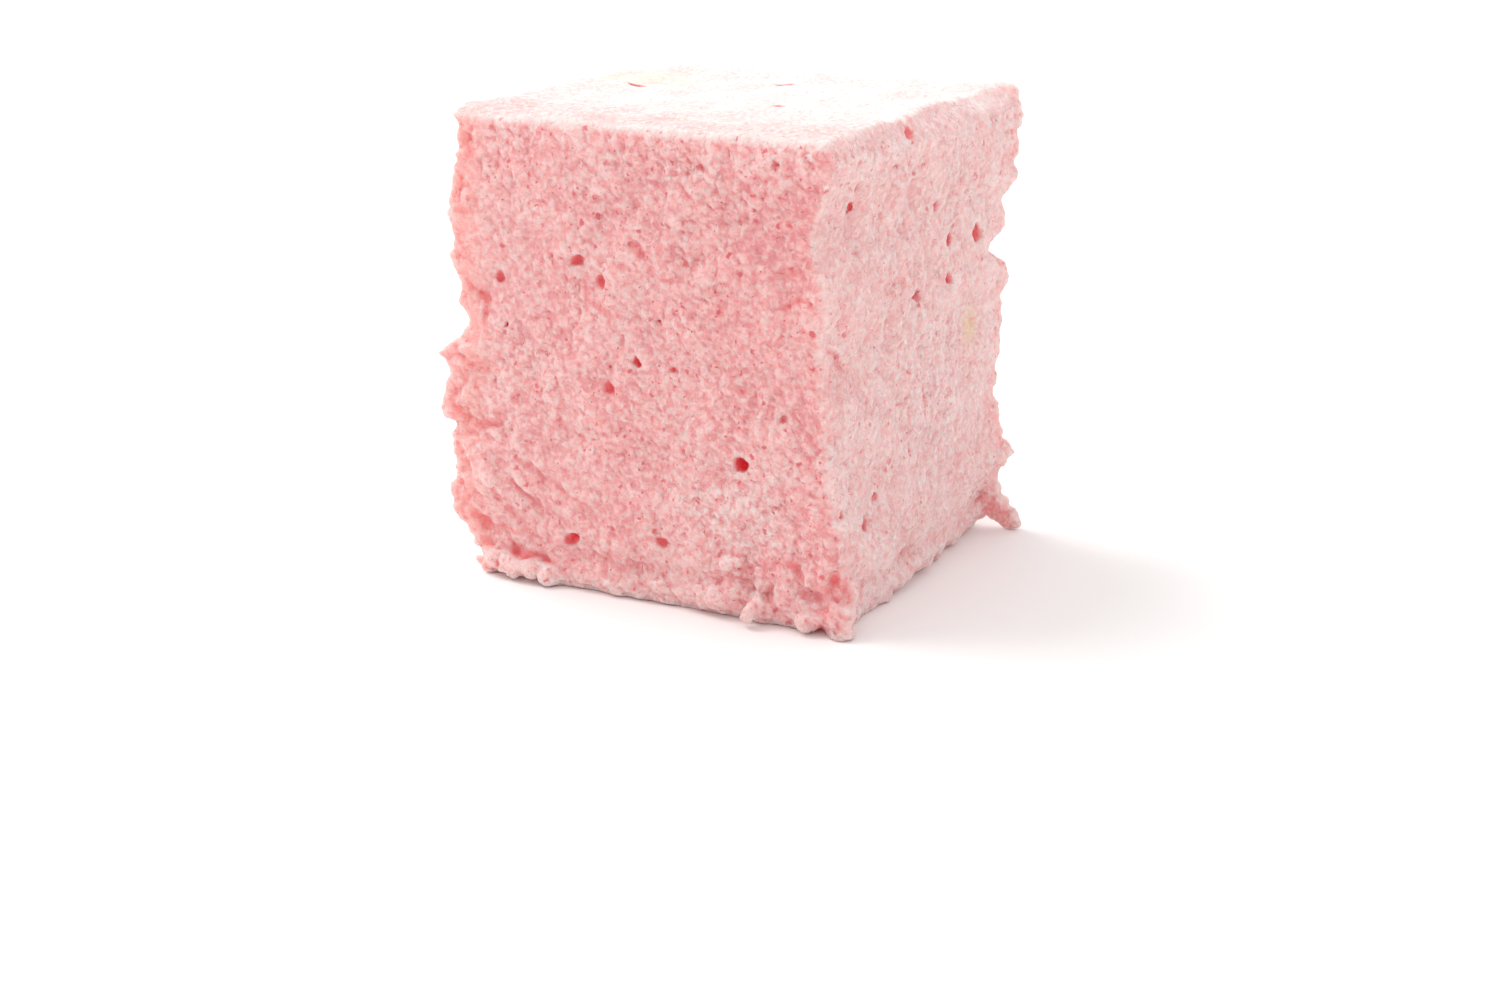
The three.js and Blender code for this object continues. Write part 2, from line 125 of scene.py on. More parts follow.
TOP_BUBBLES = [
    [-9.6, 2.5, 1.5, 1, 0, 1.5], [-0.1, 8.6, 1.3, 0.9, 0, 1.2], [3.9, 0.1, 0.9, 0.8],
]
HIDDEN_BUBBLES = ((7, (0.8, 1.6)), (9, (0.4, 0.7)))  # how many and how wide on each hidden side
HIDDEN_SEED, HIDDEN_MARGIN, HIDDEN_ROUNDNESS = 41, 2.5, 0.7
BUBBLE_DEPTH, BUBBLE_LEAST = 0.9, 0.14
BUBBLE_OPEN, BUBBLE_SOFT, BUBBLE_TORN = 1.12, 0.07, 0.30  # its torn mouth is wider by the first
BUBBLE_LOBES = 2  # smaller burst cells that open into it
LOBE_SIZE, LOBE_AWAY, LOBE_IN = (0.35, 0.65), 0.8, 0.3  # shares of the bubble's own size

# ---- Hollows torn in the near corner: [x, y, z], [half of its size along each axis]
CORNER_HOLLOWS = (([15.1, -14.3, 3.4], [0.9, 0.8, 1.3]), ([13.2, -14.9, 0.1], [1.5, 1.5, 0.8]))
HOLLOW_SOFT = 0.3

# ---- Torn crumbs along the foot of the front: [x, height, radius]
FRONT_CRUMBS = [
    [-14, 1.4, 1.1], [-12.7, 1.1, 0.9], [-11.2, 1.3, 1], [-9.4, 0.9, 0.9], [5.4, 1.4, 0.9],
    [7.2, 2.4, 1.2], [8.9, 1.2, 1.2], [9.8, 3.4, 0.9], [11.2, 2.3, 1.4], [12.6, 1.2, 1],
]
HIDDEN_CRUMBS, CRUMB_SIZE, CRUMB_RISE, CRUMB_SPAN = 3, (0.8, 1.3), (0.9, 2.2), 0.8  # on each side
CRUMB_SUNK, CRUMB_SOFT, CRUMB_SEED = 0.6, 0.35, 67

# ---- Torn flakes: [x, y, z, radius] along each, and how flat it is across Y
FLAKES = [
    ([[13.2, 12.4, 4.4, 1.5], [14.6, 13.3, 3.6, 1.5], [15.5, 13.8, 2, 1],
      [16.6, 14.2, 0.6, 0.7]], 0.7),
    ([[14.6, -13.4, 2.8, 1], [15.2, -13.9, 1.6, 1.05], [15.4, -14.1, 0.3, 0.9]], 0.9),
    ([[15, -12.8, 5.2, 0.4], [15.7, -13.1, 3.6, 0.55], [15.7, -13.5, 1.6, 0.6]], 1),
]
FLAKE_SOFT = 0.5

# ---- Creases where the soft foam folded under the knife: points [across, height] on a face,
# then the half width of the crease
FRONT_CREASES = [
    ([[-15.3, 33], [-14.6, 32.1], [-13.9, 31.1]], 0.22),
    ([[-15.4, 22.2], [-14, 21.2], [-13.7, 19.9], [-14.8, 18.5]], 0.24),
    ([[-16, 17.2], [-14.7, 16.3], [-13.5, 15.8]], 0.23),
    ([[-17, 13.2], [-16.3, 12.4], [-14.6, 11.9], [-13.1, 12.1], [-12.5, 13.1]], 0.26),
    ([[-16.4, 5], [-14.6, 3.8], [-13.1, 3.8], [-11.3, 3.4]], 0.29),
    ([[-16.3, 7.1], [-14.9, 6.3], [-14.2, 5]], 0.27),
    ([[-14.5, 2.3], [-12.1, 2.2], [-9.1, 1.9], [-7.7, 1.6]], 0.27),
    ([[-5.1, 23.2], [-4, 22], [-2.7, 21.7], [-1.6, 21.4]], 0.19),
    ([[10.4, 25.7], [11.3, 26], [12.3, 26]], 0.18),
    ([[11, 23.6], [11.8, 24.1], [12.7, 24.2]], 0.18),
    ([[9.4, 4.7], [11, 4.9], [12.4, 4.3], [12.9, 2.4]], 0.30),
    ([[6.7, 3.5], [7.8, 4.2], [9, 3.7]], 0.24),
]
RIGHT_CREASES = [
    ([[-13.2, 20.6], [-12.1, 19.7], [-11.1, 18.6]], 0.20),
    ([[-1.2, 16], [0.1, 14.6], [0.8, 13.5]], 0.20),
]
# Random ones on each hidden face: how many, of how many points, how far apart, and half widths
HIDDEN_CREASES, CREASE_POINTS, CREASE_STEP, CREASE_WIDTH = 6, 4, 1.2, (0.19, 0.27)
CREASE_SOFT, CREASE_TORN, CREASE_END = 0.2, 0.4, 0.2  # the last: share of its width at its ends
CREASE_SHADE_REACH = 0.16  # how far the painted shade spreads beside a crease
TEAR_SIZE = 0.9  # length of the waves in a torn wall

# ---- Lumps beside the creases: [across, height, radius, sunk share]
FRONT_LUMPS = [
    [-14.2, 20.4, 1.1, 0.75], [-15.6, 14.6, 1.3, 0.8], [-14.9, 9.9, 1.2, 0.8],
    [-13.4, 5.6, 1.2, 0.78], [-15, 3, 0.9, 0.7], [-10.4, 2.3, 0.7, 0.65],
    [7.5, 2, 0.75, 0.5], [9, 1.6, 0.8, 0.55], [11, 3.5, 0.8, 0.55], [12.2, 1.8, 0.7, 0.5],
]

# ---- Crowds of small crumbs: face, span across, span of height, count, span of radius, sunk share
CROWDS = [
    ("front", (-15.2, -7.6), (0.6, 1.5), 22, (0.42, 0.72), 0.6),
    ("front", (-8, 6), (0.3, 1.2), 30, (0.26, 0.48), 0.5),
    ("front", (6, 13.4), (0.5, 4.6), 52, (0.28, 0.62), 0.45),
    ("front", (-15.8, -11), (2.6, 8.5), 30, (0.4, 0.8), 0.72),
    ("front", (2, 10.5), (4, 12), 36, (0.3, 0.6), 0.72),
    ("right", (-13.6, -9), (0.5, 4), 16, (0.3, 0.6), 0.6),
    ("right", (-9, 13), (0.3, 1.4), 26, (0.26, 0.5), 0.6),
    ("left", (-13.4, 13.4), (0.4, 1.6), 46, (0.35, 0.7), 0.5),
    ("left", (-13.4, 13.4), (2, 12), 44, (0.35, 0.8), 0.72),
    ("back", (-14.6, 14.6), (0.4, 1.6), 50, (0.35, 0.7), 0.5),
    ("back", (-14.6, 14.6), (2, 12), 46, (0.35, 0.8), 0.72),
]
CROWD_SOFT, CROWD_SEED = 0.14, 91

# ---- Grid and mesh
VOXEL, GRID_MARGIN, BASE_MARGIN = 0.271, 1.1, 0.6
MEND_ROUNDS, MEND_DEPTH = 20, 0.05

# ---- Relief of the cut foam
GRAIN_SIZE, GRAIN_HEIGHT, GRAIN_MEAN = 0.9, 0.42, 0.65  # crumbs of foam that the mesh carries
FOLD_SHARE, FINE_FOLD_SHARE, FINE_FOLD_SIZE, FINE_FOLD_SHIFT = 0.75, 0.45, 0.62, 5.7
CLUMP_SIZE, CLUMP_HEIGHT, CLUMP_LAYERS = 1.8, 0.36, 4  # clumps of them, with layers down to the mesh
GRAIN_WOBBLE, CLUMP_WOBBLE = 0.3, 0.2  # how far they are moved about
PATCHY_MEAN, PATCHY_CHANGE, PATCHY_SIZE = 0.8, 0.5, 4.0  # strength of the crumbs from place to place
HOLE_CALM, HOLE_BAND = 0.6, (0.1, 0.4)  # share of the relief lost in holes, from depth to depth
TOP_SMOOTH, RELIEF_UPWARD = 0.30, (0.55, 0.9)  # share left on the top, over this span of normals
TOP_PITS, TOP_PIT_DEEPER, TOP_PIT_MOST = (33.8, 34.4), 3.0, 0.5  # holes over these heights get the painted shade of deeper ones
DRAG_SIZE, DRAG_HEIGHT, DRAG_BAND = (0.6, 0.6, 3.4), 0.13, (31.0, 33.6)  # knife's marks near the top
# Curved furrows in the lower left of the front: middle of their arcs, the radius at which their
# length is taken, their size across, along and into the foam, and the middle and reach of the region
FURROW_MIDDLE, FURROW_RADIUS = (-2.0, 16.0), 13.0
FURROW_SIZE, FURROW_HEIGHT = (0.7, 2.8, 6.0), 0.5
FURROWED = ((-12.0, -14.2, 7.0), (6.0, 3.0, 6.0))
# painted shade in the troughs of the furrows, over this span of the waves
FURROW_SHADE, FURROW_BAND = 0.9, (0.3, 0.8)
TORN_CORNER = ((15.0, -14.2, 3.2), (1.3, 1.3, 1.7))  # the torn hollow of the near corner
# painted shade in the torn hollow, and the share by which its holes get less painted shade
TORN_SHADE, TORN_PALER = 0.9, 0.5
RAGGED_SIZE, RAGGED_HEIGHT, RAGGED_BAND = 0.58, 0.38, 0.9  # finer raggedness of the upright edges
RIM_CALM, RIM_BAND = 0.45, (34.0, 34.6)  # share of the relief left at the top edge, over these heights
FOOT_FADE, BASE_LEVEL = 0.35, 0.02  # heights up to which it dies out, and points lie in the base
HOLLOW_STEPS, HOLLOW_STEP = 7, 0.6  # smoothing that the hollows are measured against
HOLLOW_FULL, TOP_CALM = 0.16, 0.6  # depth of a full hollow, and share of it lost on the top
TINY, TINIEST = 1e-9, 1e-12  # keep divisors from being 0


def lerp(start, end, share):
    return start + (end - start) * share


def smoothstep(value, low, high):
    share = np.clip((value - low) / (high - low), 0.0, 1.0)
    return share * share * (3.0 - 2.0 * share)


def bell(distance, spread):
    return np.exp(-((distance / spread) ** 2))


# ---- Seeded random numbers from 0 to 1, drawn as in the solid
def random_from(seed):
    state = seed

    def draw():
        nonlocal state
        state = (state * 1664525 + 1013904223) % 2 ** 32
        return state / 2 ** 32

    return draw


# ---- Profiles of the faces, read off as tables over the height
TABLE_MARGIN, TABLE_ROWS = 2.0, 1561
TABLE_HEIGHTS = np.linspace(-TABLE_MARGIN, HEIGHT + TABLE_MARGIN, TABLE_ROWS)


def profile_table(points):
    values = np.full_like(TABLE_HEIGHTS, points[0][1])
    for (start, start_value), (end, end_value) in zip(points, points[1:]):
        reached = TABLE_HEIGHTS >= start
        values[reached] = lerp(start_value, end_value, smoothstep(TABLE_HEIGHTS[reached], start, end))
    return values


FACE_TABLES = [
    (profile_table(first), profile_table(second), crown)
    for first, second, crown in (LEFT_FACE, RIGHT_FACE, FRONT_FACE, BACK_FACE)
]


def faces_out(across_x, across_y, height):
    """How far the left, right, front and back faces stand out of the plain block."""
    lip = LIP_OUT * bell(height - LIP_HEIGHT, LIP_SPREAD)
    groove = GROOVE_IN * bell(height - GROOVE_HEIGHT, LIP_SPREAD)
    outs = []
    for (first, second, crown), across in zip(FACE_TABLES, (across_y, across_y, across_x, across_x)):
        ends = [np.interp(height, TABLE_HEIGHTS, table) for table in (first, second)]
        middle = np.sin(np.pi * across) * np.sin(np.pi * height / HEIGHT)
        outs.append(lerp(*ends, across) + crown * middle + lip - groove)
    return outs


# ---- Push of the nicks in each upright edge, as a table over the height
def nick_tables():
    draw = random_from(RAGGED_SEED)
    nicks = list(EDGE_NICKS)
    for side_x in (-1, 1):
        for side_y in (-1, 1):
            height = RAGGED_STEP
            while height < HEIGHT:
                out = lerp(-RAGGED_OUT, RAGGED_OUT, draw())
                nicks.append([side_x, side_y, height + RAGGED_STEP * (draw() - 0.5), out, RAGGED_SPREAD])
                height += RAGGED_STEP
    tables = {}
    for side_x, side_y, height, out, spread in nicks:
        push = out * bell(TABLE_HEIGHTS - height, spread) * math.sqrt(0.5)
        tables[side_x, side_y] = tables.get((side_x, side_y), 0.0) + push
    return tables


NICK_TABLES = nick_tables()


def nick_push(x, y, z):
    push_x, push_y = 0.0, 0.0
    for (side_x, side_y), table in NICK_TABLES.items():
        away = np.hypot(x - side_x * WIDTH / 2, y - side_y * DEPTH / 2)
        push = np.interp(z, TABLE_HEIGHTS, table) * bell(away, NICK_REACH)
        push_x = push_x + side_x * push
        push_y = push_y + side_y * push
    return push_x, push_y


def make_swells():
    draw = random_from(SWELL_SEED)
    swells = []
    for index in range(SWELL_COUNT):
        length = lerp(SWELL_SHORTEST, SWELL_LONGEST, index / (SWELL_COUNT - 1))
        turn = 2 * math.pi * draw()
        rise = 2 * draw() - 1
        flat = math.sqrt(1 - rise * rise)
        wave = np.array([flat * math.cos(turn), flat * math.sin(turn), rise]) * 2 * math.pi / length
        swells.append((wave, 2 * math.pi * draw()))
    return swells


SWELLS = make_swells()


def swell_at(x, y, z):
    waves = (np.sin(wave[0] * x + wave[1] * y + wave[2] * z + phase) for wave, phase in SWELLS)
    return SWELL_HEIGHT * sum(waves)


def shares_across(x, y):
    return np.clip(x / WIDTH + 0.5, 0, 1), np.clip(y / DEPTH + 0.5, 0, 1)


def top_sink(across_x, across_y, z):
    """How far the dished and tilted top lies below a level one, fading towards the base."""
    dish = TOP_DISH * np.sin(np.pi * across_x) * np.sin(np.pi * across_y)
    return (dish - TOP_TILT * across_x * across_y) * np.clip(z / HEIGHT, 0, 1)


# ---- From the plain block to the marshmallow
def shape_point(x, y, z):
    across_x, across_y = shares_across(x, y)
    push_x, push_y = nick_push(x, y, z)
    left, right, front, back = faces_out(across_x, across_y, z)
    shaped_x = x + lerp(-left, right, across_x) + push_x
    shaped_y = y + lerp(-front, back, across_y) + push_y
    return shaped_x, shaped_y, z - top_sink(across_x, across_y, z)


# Each face's axis and its side along that axis, and how far the faces of each axis lie
FACES = {"front": (1, -1), "back": (1, 1), "left": (0, -1), "right": (0, 1), "top": (2, 1)}
FACE_AWAY = np.array([WIDTH / 2, DEPTH / 2, HEIGHT])
HIDDEN_FACES = (("left", DEPTH), ("back", WIDTH))  # and how wide they are


def spot_on(face, across, height):
    """Where a spot of one plain face comes to lie; on the top the two are its x and y."""
    axis, side = FACES[face]
    plain = [across, height]
    plain.insert(axis, side * FACE_AWAY[axis])
    high = FACE_AWAY - EDGE_RADIUS
    core = np.clip(plain, [-high[0], -high[1], EDGE_RADIUS - TRIM], high)
    outward = (plain - core) / np.linalg.norm(plain - core)
    rounded = core + outward * EDGE_RADIUS
    calm = smoothstep(rounded[2], 0, BASE_CALM)
    return np.array(shape_point(*(rounded + outward * swell_at(*rounded) * calm)))


def unshift(place, low_out, high_out, span):
    """Undoes the move of two opposite faces along one axis."""
    inner = (place + (low_out - high_out) / 2) / (1 + (low_out + high_out) / span)
    return np.where(inner < -span / 2, place + low_out, np.where(inner > span / 2, place - high_out, inner))


def plain_from(x, y, z):
    """Takes places on and near the marshmallow back to the plain block."""
    plain_x, plain_y, plain_z = x, y, z
    for _ in range(PLAIN_ROUNDS):
        across_x, across_y = shares_across(plain_x, plain_y)
        plain_z = z + top_sink(across_x, across_y, z)
        push_x, push_y = nick_push(plain_x, plain_y, plain_z)
        left, right, front, back = faces_out(across_x, across_y, plain_z)
        plain_x = unshift(x - push_x, left, right, WIDTH)
        plain_y = unshift(y - push_y, front, back, DEPTH)
    return plain_x, plain_y, plain_z


def block_distance(x, y, z):
    """Distance to the shaped block's surface: negative inside."""
    px, py, pz = plain_from(x, y, z)
    qx = np.abs(px) - (WIDTH / 2 - CRISP_RADIUS)
    qy = np.abs(py) - (DEPTH / 2 - CRISP_RADIUS)
    middle = (HEIGHT - TRIM) / 2
    qz = np.abs(pz - middle) - ((HEIGHT + TRIM) / 2 - CRISP_RADIUS)
    outside = np.sqrt(np.maximum(qx, 0) ** 2 + np.maximum(qy, 0) ** 2 + np.maximum(qz, 0) ** 2)
    inside = np.minimum(np.maximum(qx, np.maximum(qy, qz)), 0)
    return outside + inside - CRISP_RADIUS - swell_at(px, py, pz) * smoothstep(pz, 0, BASE_CALM)


def smooth_min(first, second, soft):
    share = np.clip(0.5 + 0.5 * (second - first) / soft, 0, 1)
    return lerp(second, first, share) - soft * share * (1 - share)


def turn_matrix(axis, degrees):
    return np.array(Matrix.Rotation(math.radians(degrees), 3, Vector(axis)))


# ---- Noise that is the same on every run; a salt sets each noise apart from the others
CORNERS = [(i, j, k) for i in (0, 1) for j in (0, 1) for k in (0, 1)]
LAYER_SHIFT, LAYER_FADE = 17.3, 0.55


def cell_random(cells, salt):
    """A number from 0 to 1 for every cell, scrambled from its three counts."""
    mixed = (cells[..., 0] * 73856093) ^ (cells[..., 1] * 19349663) ^ (cells[..., 2] * 83492791)
    mixed = (mixed + salt * 40503 + 977) & 0xFFFFFFFF
    mixed = ((mixed ^ (mixed >> 15)) * 2246822519) & 0xFFFFFFFF
    mixed = ((mixed ^ (mixed >> 13)) * 3266489917) & 0xFFFFFFFF
    return ((mixed ^ (mixed >> 16)) & 0xFFFFFF) / float(0x1000000)


def between_corners(share, value_at):
    """Values between the eight corners of a cell, by straight interpolation."""
    result = np.zeros(len(share))
    for offset in CORNERS:
        weight = np.prod(np.where(np.array(offset) == 1, share, 1 - share), axis=1)
        result += weight * value_at(offset)
    return result


def soft_noise(points, size, salt):
    """Smooth noise from -1 to 1, with lumps of about the given size (one, or one for each axis)."""
    place = points / np.array(size, float)
    cell = np.floor(place).astype(np.int64)
    share = place - cell
    share = share * share * (3 - 2 * share)
    return 2 * between_corners(share, lambda offset: cell_random(cell + offset, salt)) - 1


def layered_noise(points, size, salt, layers):
    total, weight, result = 0.0, 1.0, 0.0
    for layer in range(layers):
        finer = soft_noise(points + LAYER_SHIFT * layer, size / 2 ** layer, salt + layer)
        result = result + weight * finer
        total += weight
        weight *= LAYER_FADE
    return result / total


def tearing(places):
    """Small uneven shifts of places, from -1 to 1 along each axis."""
    flat = places.reshape(-1, 3)
    shifts = [soft_noise(flat, TEAR_SIZE, 120 + axis) for axis in range(3)]
    return np.stack(shifts, axis=1).reshape(places.shape)


def string_distance(points, places, flatness=1.0):
    """Distance to a round string through points [x, y, z, radius], thinner along Y by its flatness."""
    points = np.array(points, float)
    squeeze = np.array([1.0, 1.0 / flatness, 1.0])
    nearest = np.full(places.shape[:-1], np.inf)
    for start, end in zip(points, points[1:]):
        along = (end - start)[:3] * squeeze
        offset = (places - start[:3]) * squeeze
        share = np.clip(offset @ along / max(along @ along, TINY), 0, 1)
        radius = lerp(start[3], end[3], share)
        nearest = np.minimum(nearest, np.linalg.norm(offset - share[..., None] * along, axis=-1) - radius)
    return nearest


# ---- The field of distances, to which shapes are joined and of which they are carved
NO_TURN = np.eye(3)


class Field:
    def __init__(self, low, high):
        counts = np.ceil((high - low) / VOXEL).astype(int) + 1
        self.low = low
        self.axes = [low[axis] + VOXEL * np.arange(counts[axis]) for axis in range(3)]
        x, y, z = np.meshgrid(*self.axes, indexing="ij", sparse=True)
        self.distance = block_distance(x, y, z)
        self.skin = self.distance.copy()  # the surface before anything is carved out of it
        self.creases = []

    def window(self, low, high, reach, torn):
        """The part of the grid round a shape, as slices, and its places, moved about where torn."""
        first = np.maximum(np.floor((low - reach - self.low) / VOXEL).astype(int), 0)
        last = np.ceil((high + reach - self.low) / VOXEL).astype(int) + 1
        part = tuple(slice(a, b) for a, b in zip(first, last))
        axes = [values[span] for values, span in zip(self.axes, part)]
        places = np.stack(np.meshgrid(*axes, indexing="ij"), axis=-1)
        return part, places + torn * tearing(places)

    def ball(self, centre, half, soft, turn=NO_TURN, torn=0.0):
        """A ball or egg to join or carve: its part of the grid, its distances and softness."""
        centre, half = np.array(centre, float), np.array(half, float)
        part, places = self.window(centre, centre, np.max(half) + 2 * soft + VOXEL, torn)
        local = (places - centre) @ turn
        scaled = np.linalg.norm(local / half, axis=-1)
        slope = np.linalg.norm(local / half ** 2, axis=-1) + TINY
        return part, scaled * (scaled - 1) / slope, soft

    def chain(self, points, soft, flatness=1.0, torn=0.0):
        """The same for a string through points [x, y, z, radius]."""
        points = np.array(points, float)
        low, high = points[:, :3].min(axis=0), points[:, :3].max(axis=0)
        part, places = self.window(low, high, np.max(points[:, 3]) + 2 * soft + VOXEL, torn)
        return part, string_distance(points, places, flatness), soft

    def join(self, shape):
        part, distance, soft = shape
        self.distance[part] = smooth_min(self.distance[part], distance, soft)
        self.skin[part] = smooth_min(self.skin[part], distance, soft)

    def carve(self, shape):
        part, distance, soft = shape
        self.distance[part] = -smooth_min(-self.distance[part], distance, soft)

    def land(self, face, across, height):
        """The outermost surface above a spot of one face."""
        axis, side = FACES[face]
        place = [across, height]
        place.insert(axis, 0.0)
        cell = [int(round((value - low) / VOXEL)) for value, low in zip(place, self.low)]
        cell[axis] = slice(None)
        column = self.skin[tuple(cell)]
        inside = np.flatnonzero(column < 0)
        last = inside[0] if side < 0 else inside[-1]
        beyond = last + side
        share = column[last] / (column[last] - column[beyond])
        place[axis] = lerp(self.axes[axis][last], self.axes[axis][beyond], share)
        return np.array(place)


def carve_bubble(field, face, across, height, wide, tall, tilt=0, deeper=1.0):
    axis, side = FACES[face]
    spot, half = spot_on(face, across, height), [wide / 2, tall / 2]
    half.insert(axis, deeper * (BUBBLE_DEPTH * (wide + tall) / 4 + BUBBLE_LEAST))
    half = BUBBLE_OPEN * np.array(half)
    turn = turn_matrix(NO_TURN[axis], tilt)
    field.carve(field.ball(spot, half, BUBBLE_SOFT, turn, BUBBLE_TORN))
    draw = random_from(int(1000 * abs(across) + 77 * height))  # each bubble's own seed
    for _ in range(BUBBLE_LOBES):
        off = np.array([2 * draw() - 1 for _ in range(3)])
        off[axis] = -LOBE_IN * side * draw()
        lobe = half * lerp(*LOBE_SIZE, draw())
        place = spot + turn @ (off * half * LOBE_AWAY)
        field.carve(field.ball(place, lobe, BUBBLE_SOFT, turn, BUBBLE_TORN))


def random_spot(draw, span):
    """A spot [across, height] on a hidden face of that width, away from its edges."""
    across = lerp(HIDDEN_MARGIN - span / 2, span / 2 - HIDDEN_MARGIN, draw())
    return across, lerp(HIDDEN_MARGIN, HEIGHT - HIDDEN_MARGIN, draw())


def carve_bubbles(field):
    for face, bubbles in (("front", FRONT_BUBBLES), ("right", RIGHT_BUBBLES), ("top", TOP_BUBBLES)):
        for bubble in bubbles:
            carve_bubble(field, face, *bubble)
    draw = random_from(HIDDEN_SEED)
    for count, size in HIDDEN_BUBBLES:
        for _ in range(count):
            for face, span in HIDDEN_FACES:
                spot = random_spot(draw, span)
                wide = lerp(*size, draw() ** 2)
                tall = wide * lerp(HIDDEN_ROUNDNESS, 1, draw())
                carve_bubble(field, face, *spot, wide, tall, 180 * draw())


def join_crumb(field, face, place, radius, sunk=CRUMB_SUNK, soft=CRUMB_SOFT):
    """A round crumb on a face, sunk into it by a share of its radius."""
    axis, side = FACES[face]
    place[axis] -= side * radius * sunk
    field.join(field.ball(place, [radius] * 3, soft))


def join_torn(field):
    for spine, flatness in FLAKES:
        field.join(field.chain(spine, FLAKE_SOFT, flatness))
    for x, height, radius in FRONT_CRUMBS:
        join_crumb(field, "front", spot_on("front", x, height), radius)
    draw = random_from(CRUMB_SEED)
    for _ in range(HIDDEN_CRUMBS):
        for face, span in HIDDEN_FACES:
            across = span * (CRUMB_SPAN * (draw() - 0.5))
            height, radius = lerp(*CRUMB_RISE, draw()), lerp(*CRUMB_SIZE, draw())
            join_crumb(field, face, spot_on(face, across, height), radius)
    for x, height, radius, sunk in FRONT_LUMPS:
        join_crumb(field, "front", field.land("front", x, height), radius, sunk)


def join_crowds(field):
    draw = random_from(CROWD_SEED)
    for face, span, rise, count, radii, sunk in CROWDS:
        for _ in range(count):
            radius = lerp(*radii, draw() ** 2)
            place = field.land(face, lerp(*span, draw()), lerp(*rise, draw()))
            join_crumb(field, face, place, radius, sunk, CROWD_SOFT)


def carve_crease(field, face, points, width):
    ends = (0, len(points) - 1)
    string = []
    for index, spot in enumerate(points):
        taper = CREASE_END if index in ends else 1.0
        string.append([*field.land(face, *spot), width * taper])
    field.creases.append(string)
    field.carve(field.chain(string, CREASE_SOFT, torn=CREASE_TORN))


def carve_creases(field):
    for face, creases in (("front", FRONT_CREASES), ("right", RIGHT_CREASES)):
        for points, width in creases:
            carve_crease(field, face, points, width)
    draw = random_from(HIDDEN_SEED + 1)
    for _ in range(HIDDEN_CREASES):
        for face, span in HIDDEN_FACES:
            across, height = random_spot(draw, span)
            points = []
            for _ in range(CREASE_POINTS):
                points.append([across, height])
                across += CREASE_STEP * (2 * draw() - 1)
                height -= CREASE_STEP * draw()
            carve_crease(field, face, points, lerp(*CREASE_WIDTH, draw()))


def marshmallow_field():
    low = np.array(cad_low) / MM - GRID_MARGIN
    low[2] = -BASE_MARGIN
    field = Field(low, np.array(cad_high) / MM + GRID_MARGIN)
    for centre, half in CORNER_HOLLOWS:
        field.carve(field.ball(centre, half, HOLLOW_SOFT))
    join_torn(field)
    join_crowds(field)
    carve_creases(field)
    carve_bubbles(field)
    field.distance = np.maximum(field.distance, -field.axes[2])  # cut level with the floor
    return field


# ---- One closed mesh round the field: a point in every cell that the surface crosses
CELL_EDGES = [
    (start, end) for start in CORNERS for end in CORNERS
    if sum(end) == sum(start) + 1 and all(low <= high for low, high in zip(start, end))
]


def corner(values, offset, axes=(0, 1, 2)):
    """The grid's values at one corner of every cell, or at one end of every step along fewer axes."""
    part = [slice(None)] * 3
    for axis, start in zip(axes, offset):
        part[axis] = slice(start, values.shape[axis] - 1 + start)
    return values[tuple(part)]


def mend(distance):
    """Turns over single points of foam or air, and joins foam that touches at an edge only."""
    middle = (slice(1, -1),) * 3
    for _ in range(MEND_ROUNDS):
        inside = distance < 0
        alone = np.ones(inside[middle].shape, bool)
        for axis in range(3):
            for step in (-1, 1):
                alone &= np.roll(inside, step, axis)[middle] != inside[middle]
        distance[middle][alone] *= -1
        found = alone.any()
        for axes in ((0, 1), (1, 2), (2, 0)):
            square = [corner(distance, offset, axes) for offset in ((0, 0), (1, 1), (1, 0), (0, 1))]
            for one, two, left, right in (square, square[2:] + square[:2]):
                gap = (one >= 0) & (two >= 0) & (left < 0) & (right < 0)
                first = gap & (one <= two)
                one[first] = -MEND_DEPTH
                two[gap & ~first] = -MEND_DEPTH
                found = found or gap.any()
        if not found:
            return


def mesh_from(field):
    mend(field.distance)
    distance = field.distance
    inside = distance < 0
    corners = [corner(inside, offset) for offset in CORNERS]
    active = np.argwhere(np.any(corners, axis=0) & ~np.all(corners, axis=0))
    number = np.full(corners[0].shape, -1, np.int64)
    number[tuple(active.T)] = np.arange(len(active))

    total = np.zeros((len(active), 3))
    count = np.zeros(len(active))
    for start, end in CELL_EDGES:
        first = distance[tuple((active + start).T)]
        second = distance[tuple((active + end).T)]
        crossed = (first < 0) != (second < 0)
        share = np.where(crossed, first / np.where(crossed, first - second, 1.0), 0.0)
        place = np.array(start) + share[:, None] * (np.array(end) - np.array(start))
        total[crossed] += place[crossed]
        count[crossed] += 1
    points = field.low + VOXEL * (active + total / count[:, None])

    quads = []
    for axis in range(3):
        second, third = (axis + 1) % 3, (axis + 2) % 3
        lower, upper = (corner(inside, [end], [axis]) for end in (0, 1))
        for outward in (True, False):
            found = np.argwhere((lower & ~upper) if outward else (~lower & upper))
            ring = []
            for back_second, back_third in ((1, 1), (0, 1), (0, 0), (1, 0)):
                cell = found.copy()
                cell[:, second] -= back_second
                cell[:, third] -= back_third
                ring.append(number[tuple(cell.T)])
            quads.append(np.stack(ring if outward else ring[::-1], axis=1))
    return points, np.concatenate(quads)


def point_normals(points, quads):
    across = points[quads[:, 2]] - points[quads[:, 0]]
    along = points[quads[:, 3]] - points[quads[:, 1]]
    face = np.cross(across, along)
    normals = np.zeros_like(points)
    for index in range(4):
        np.add.at(normals, quads[:, index], face)
    return normals / (np.linalg.norm(normals, axis=1, keepdims=True) + TINIEST)


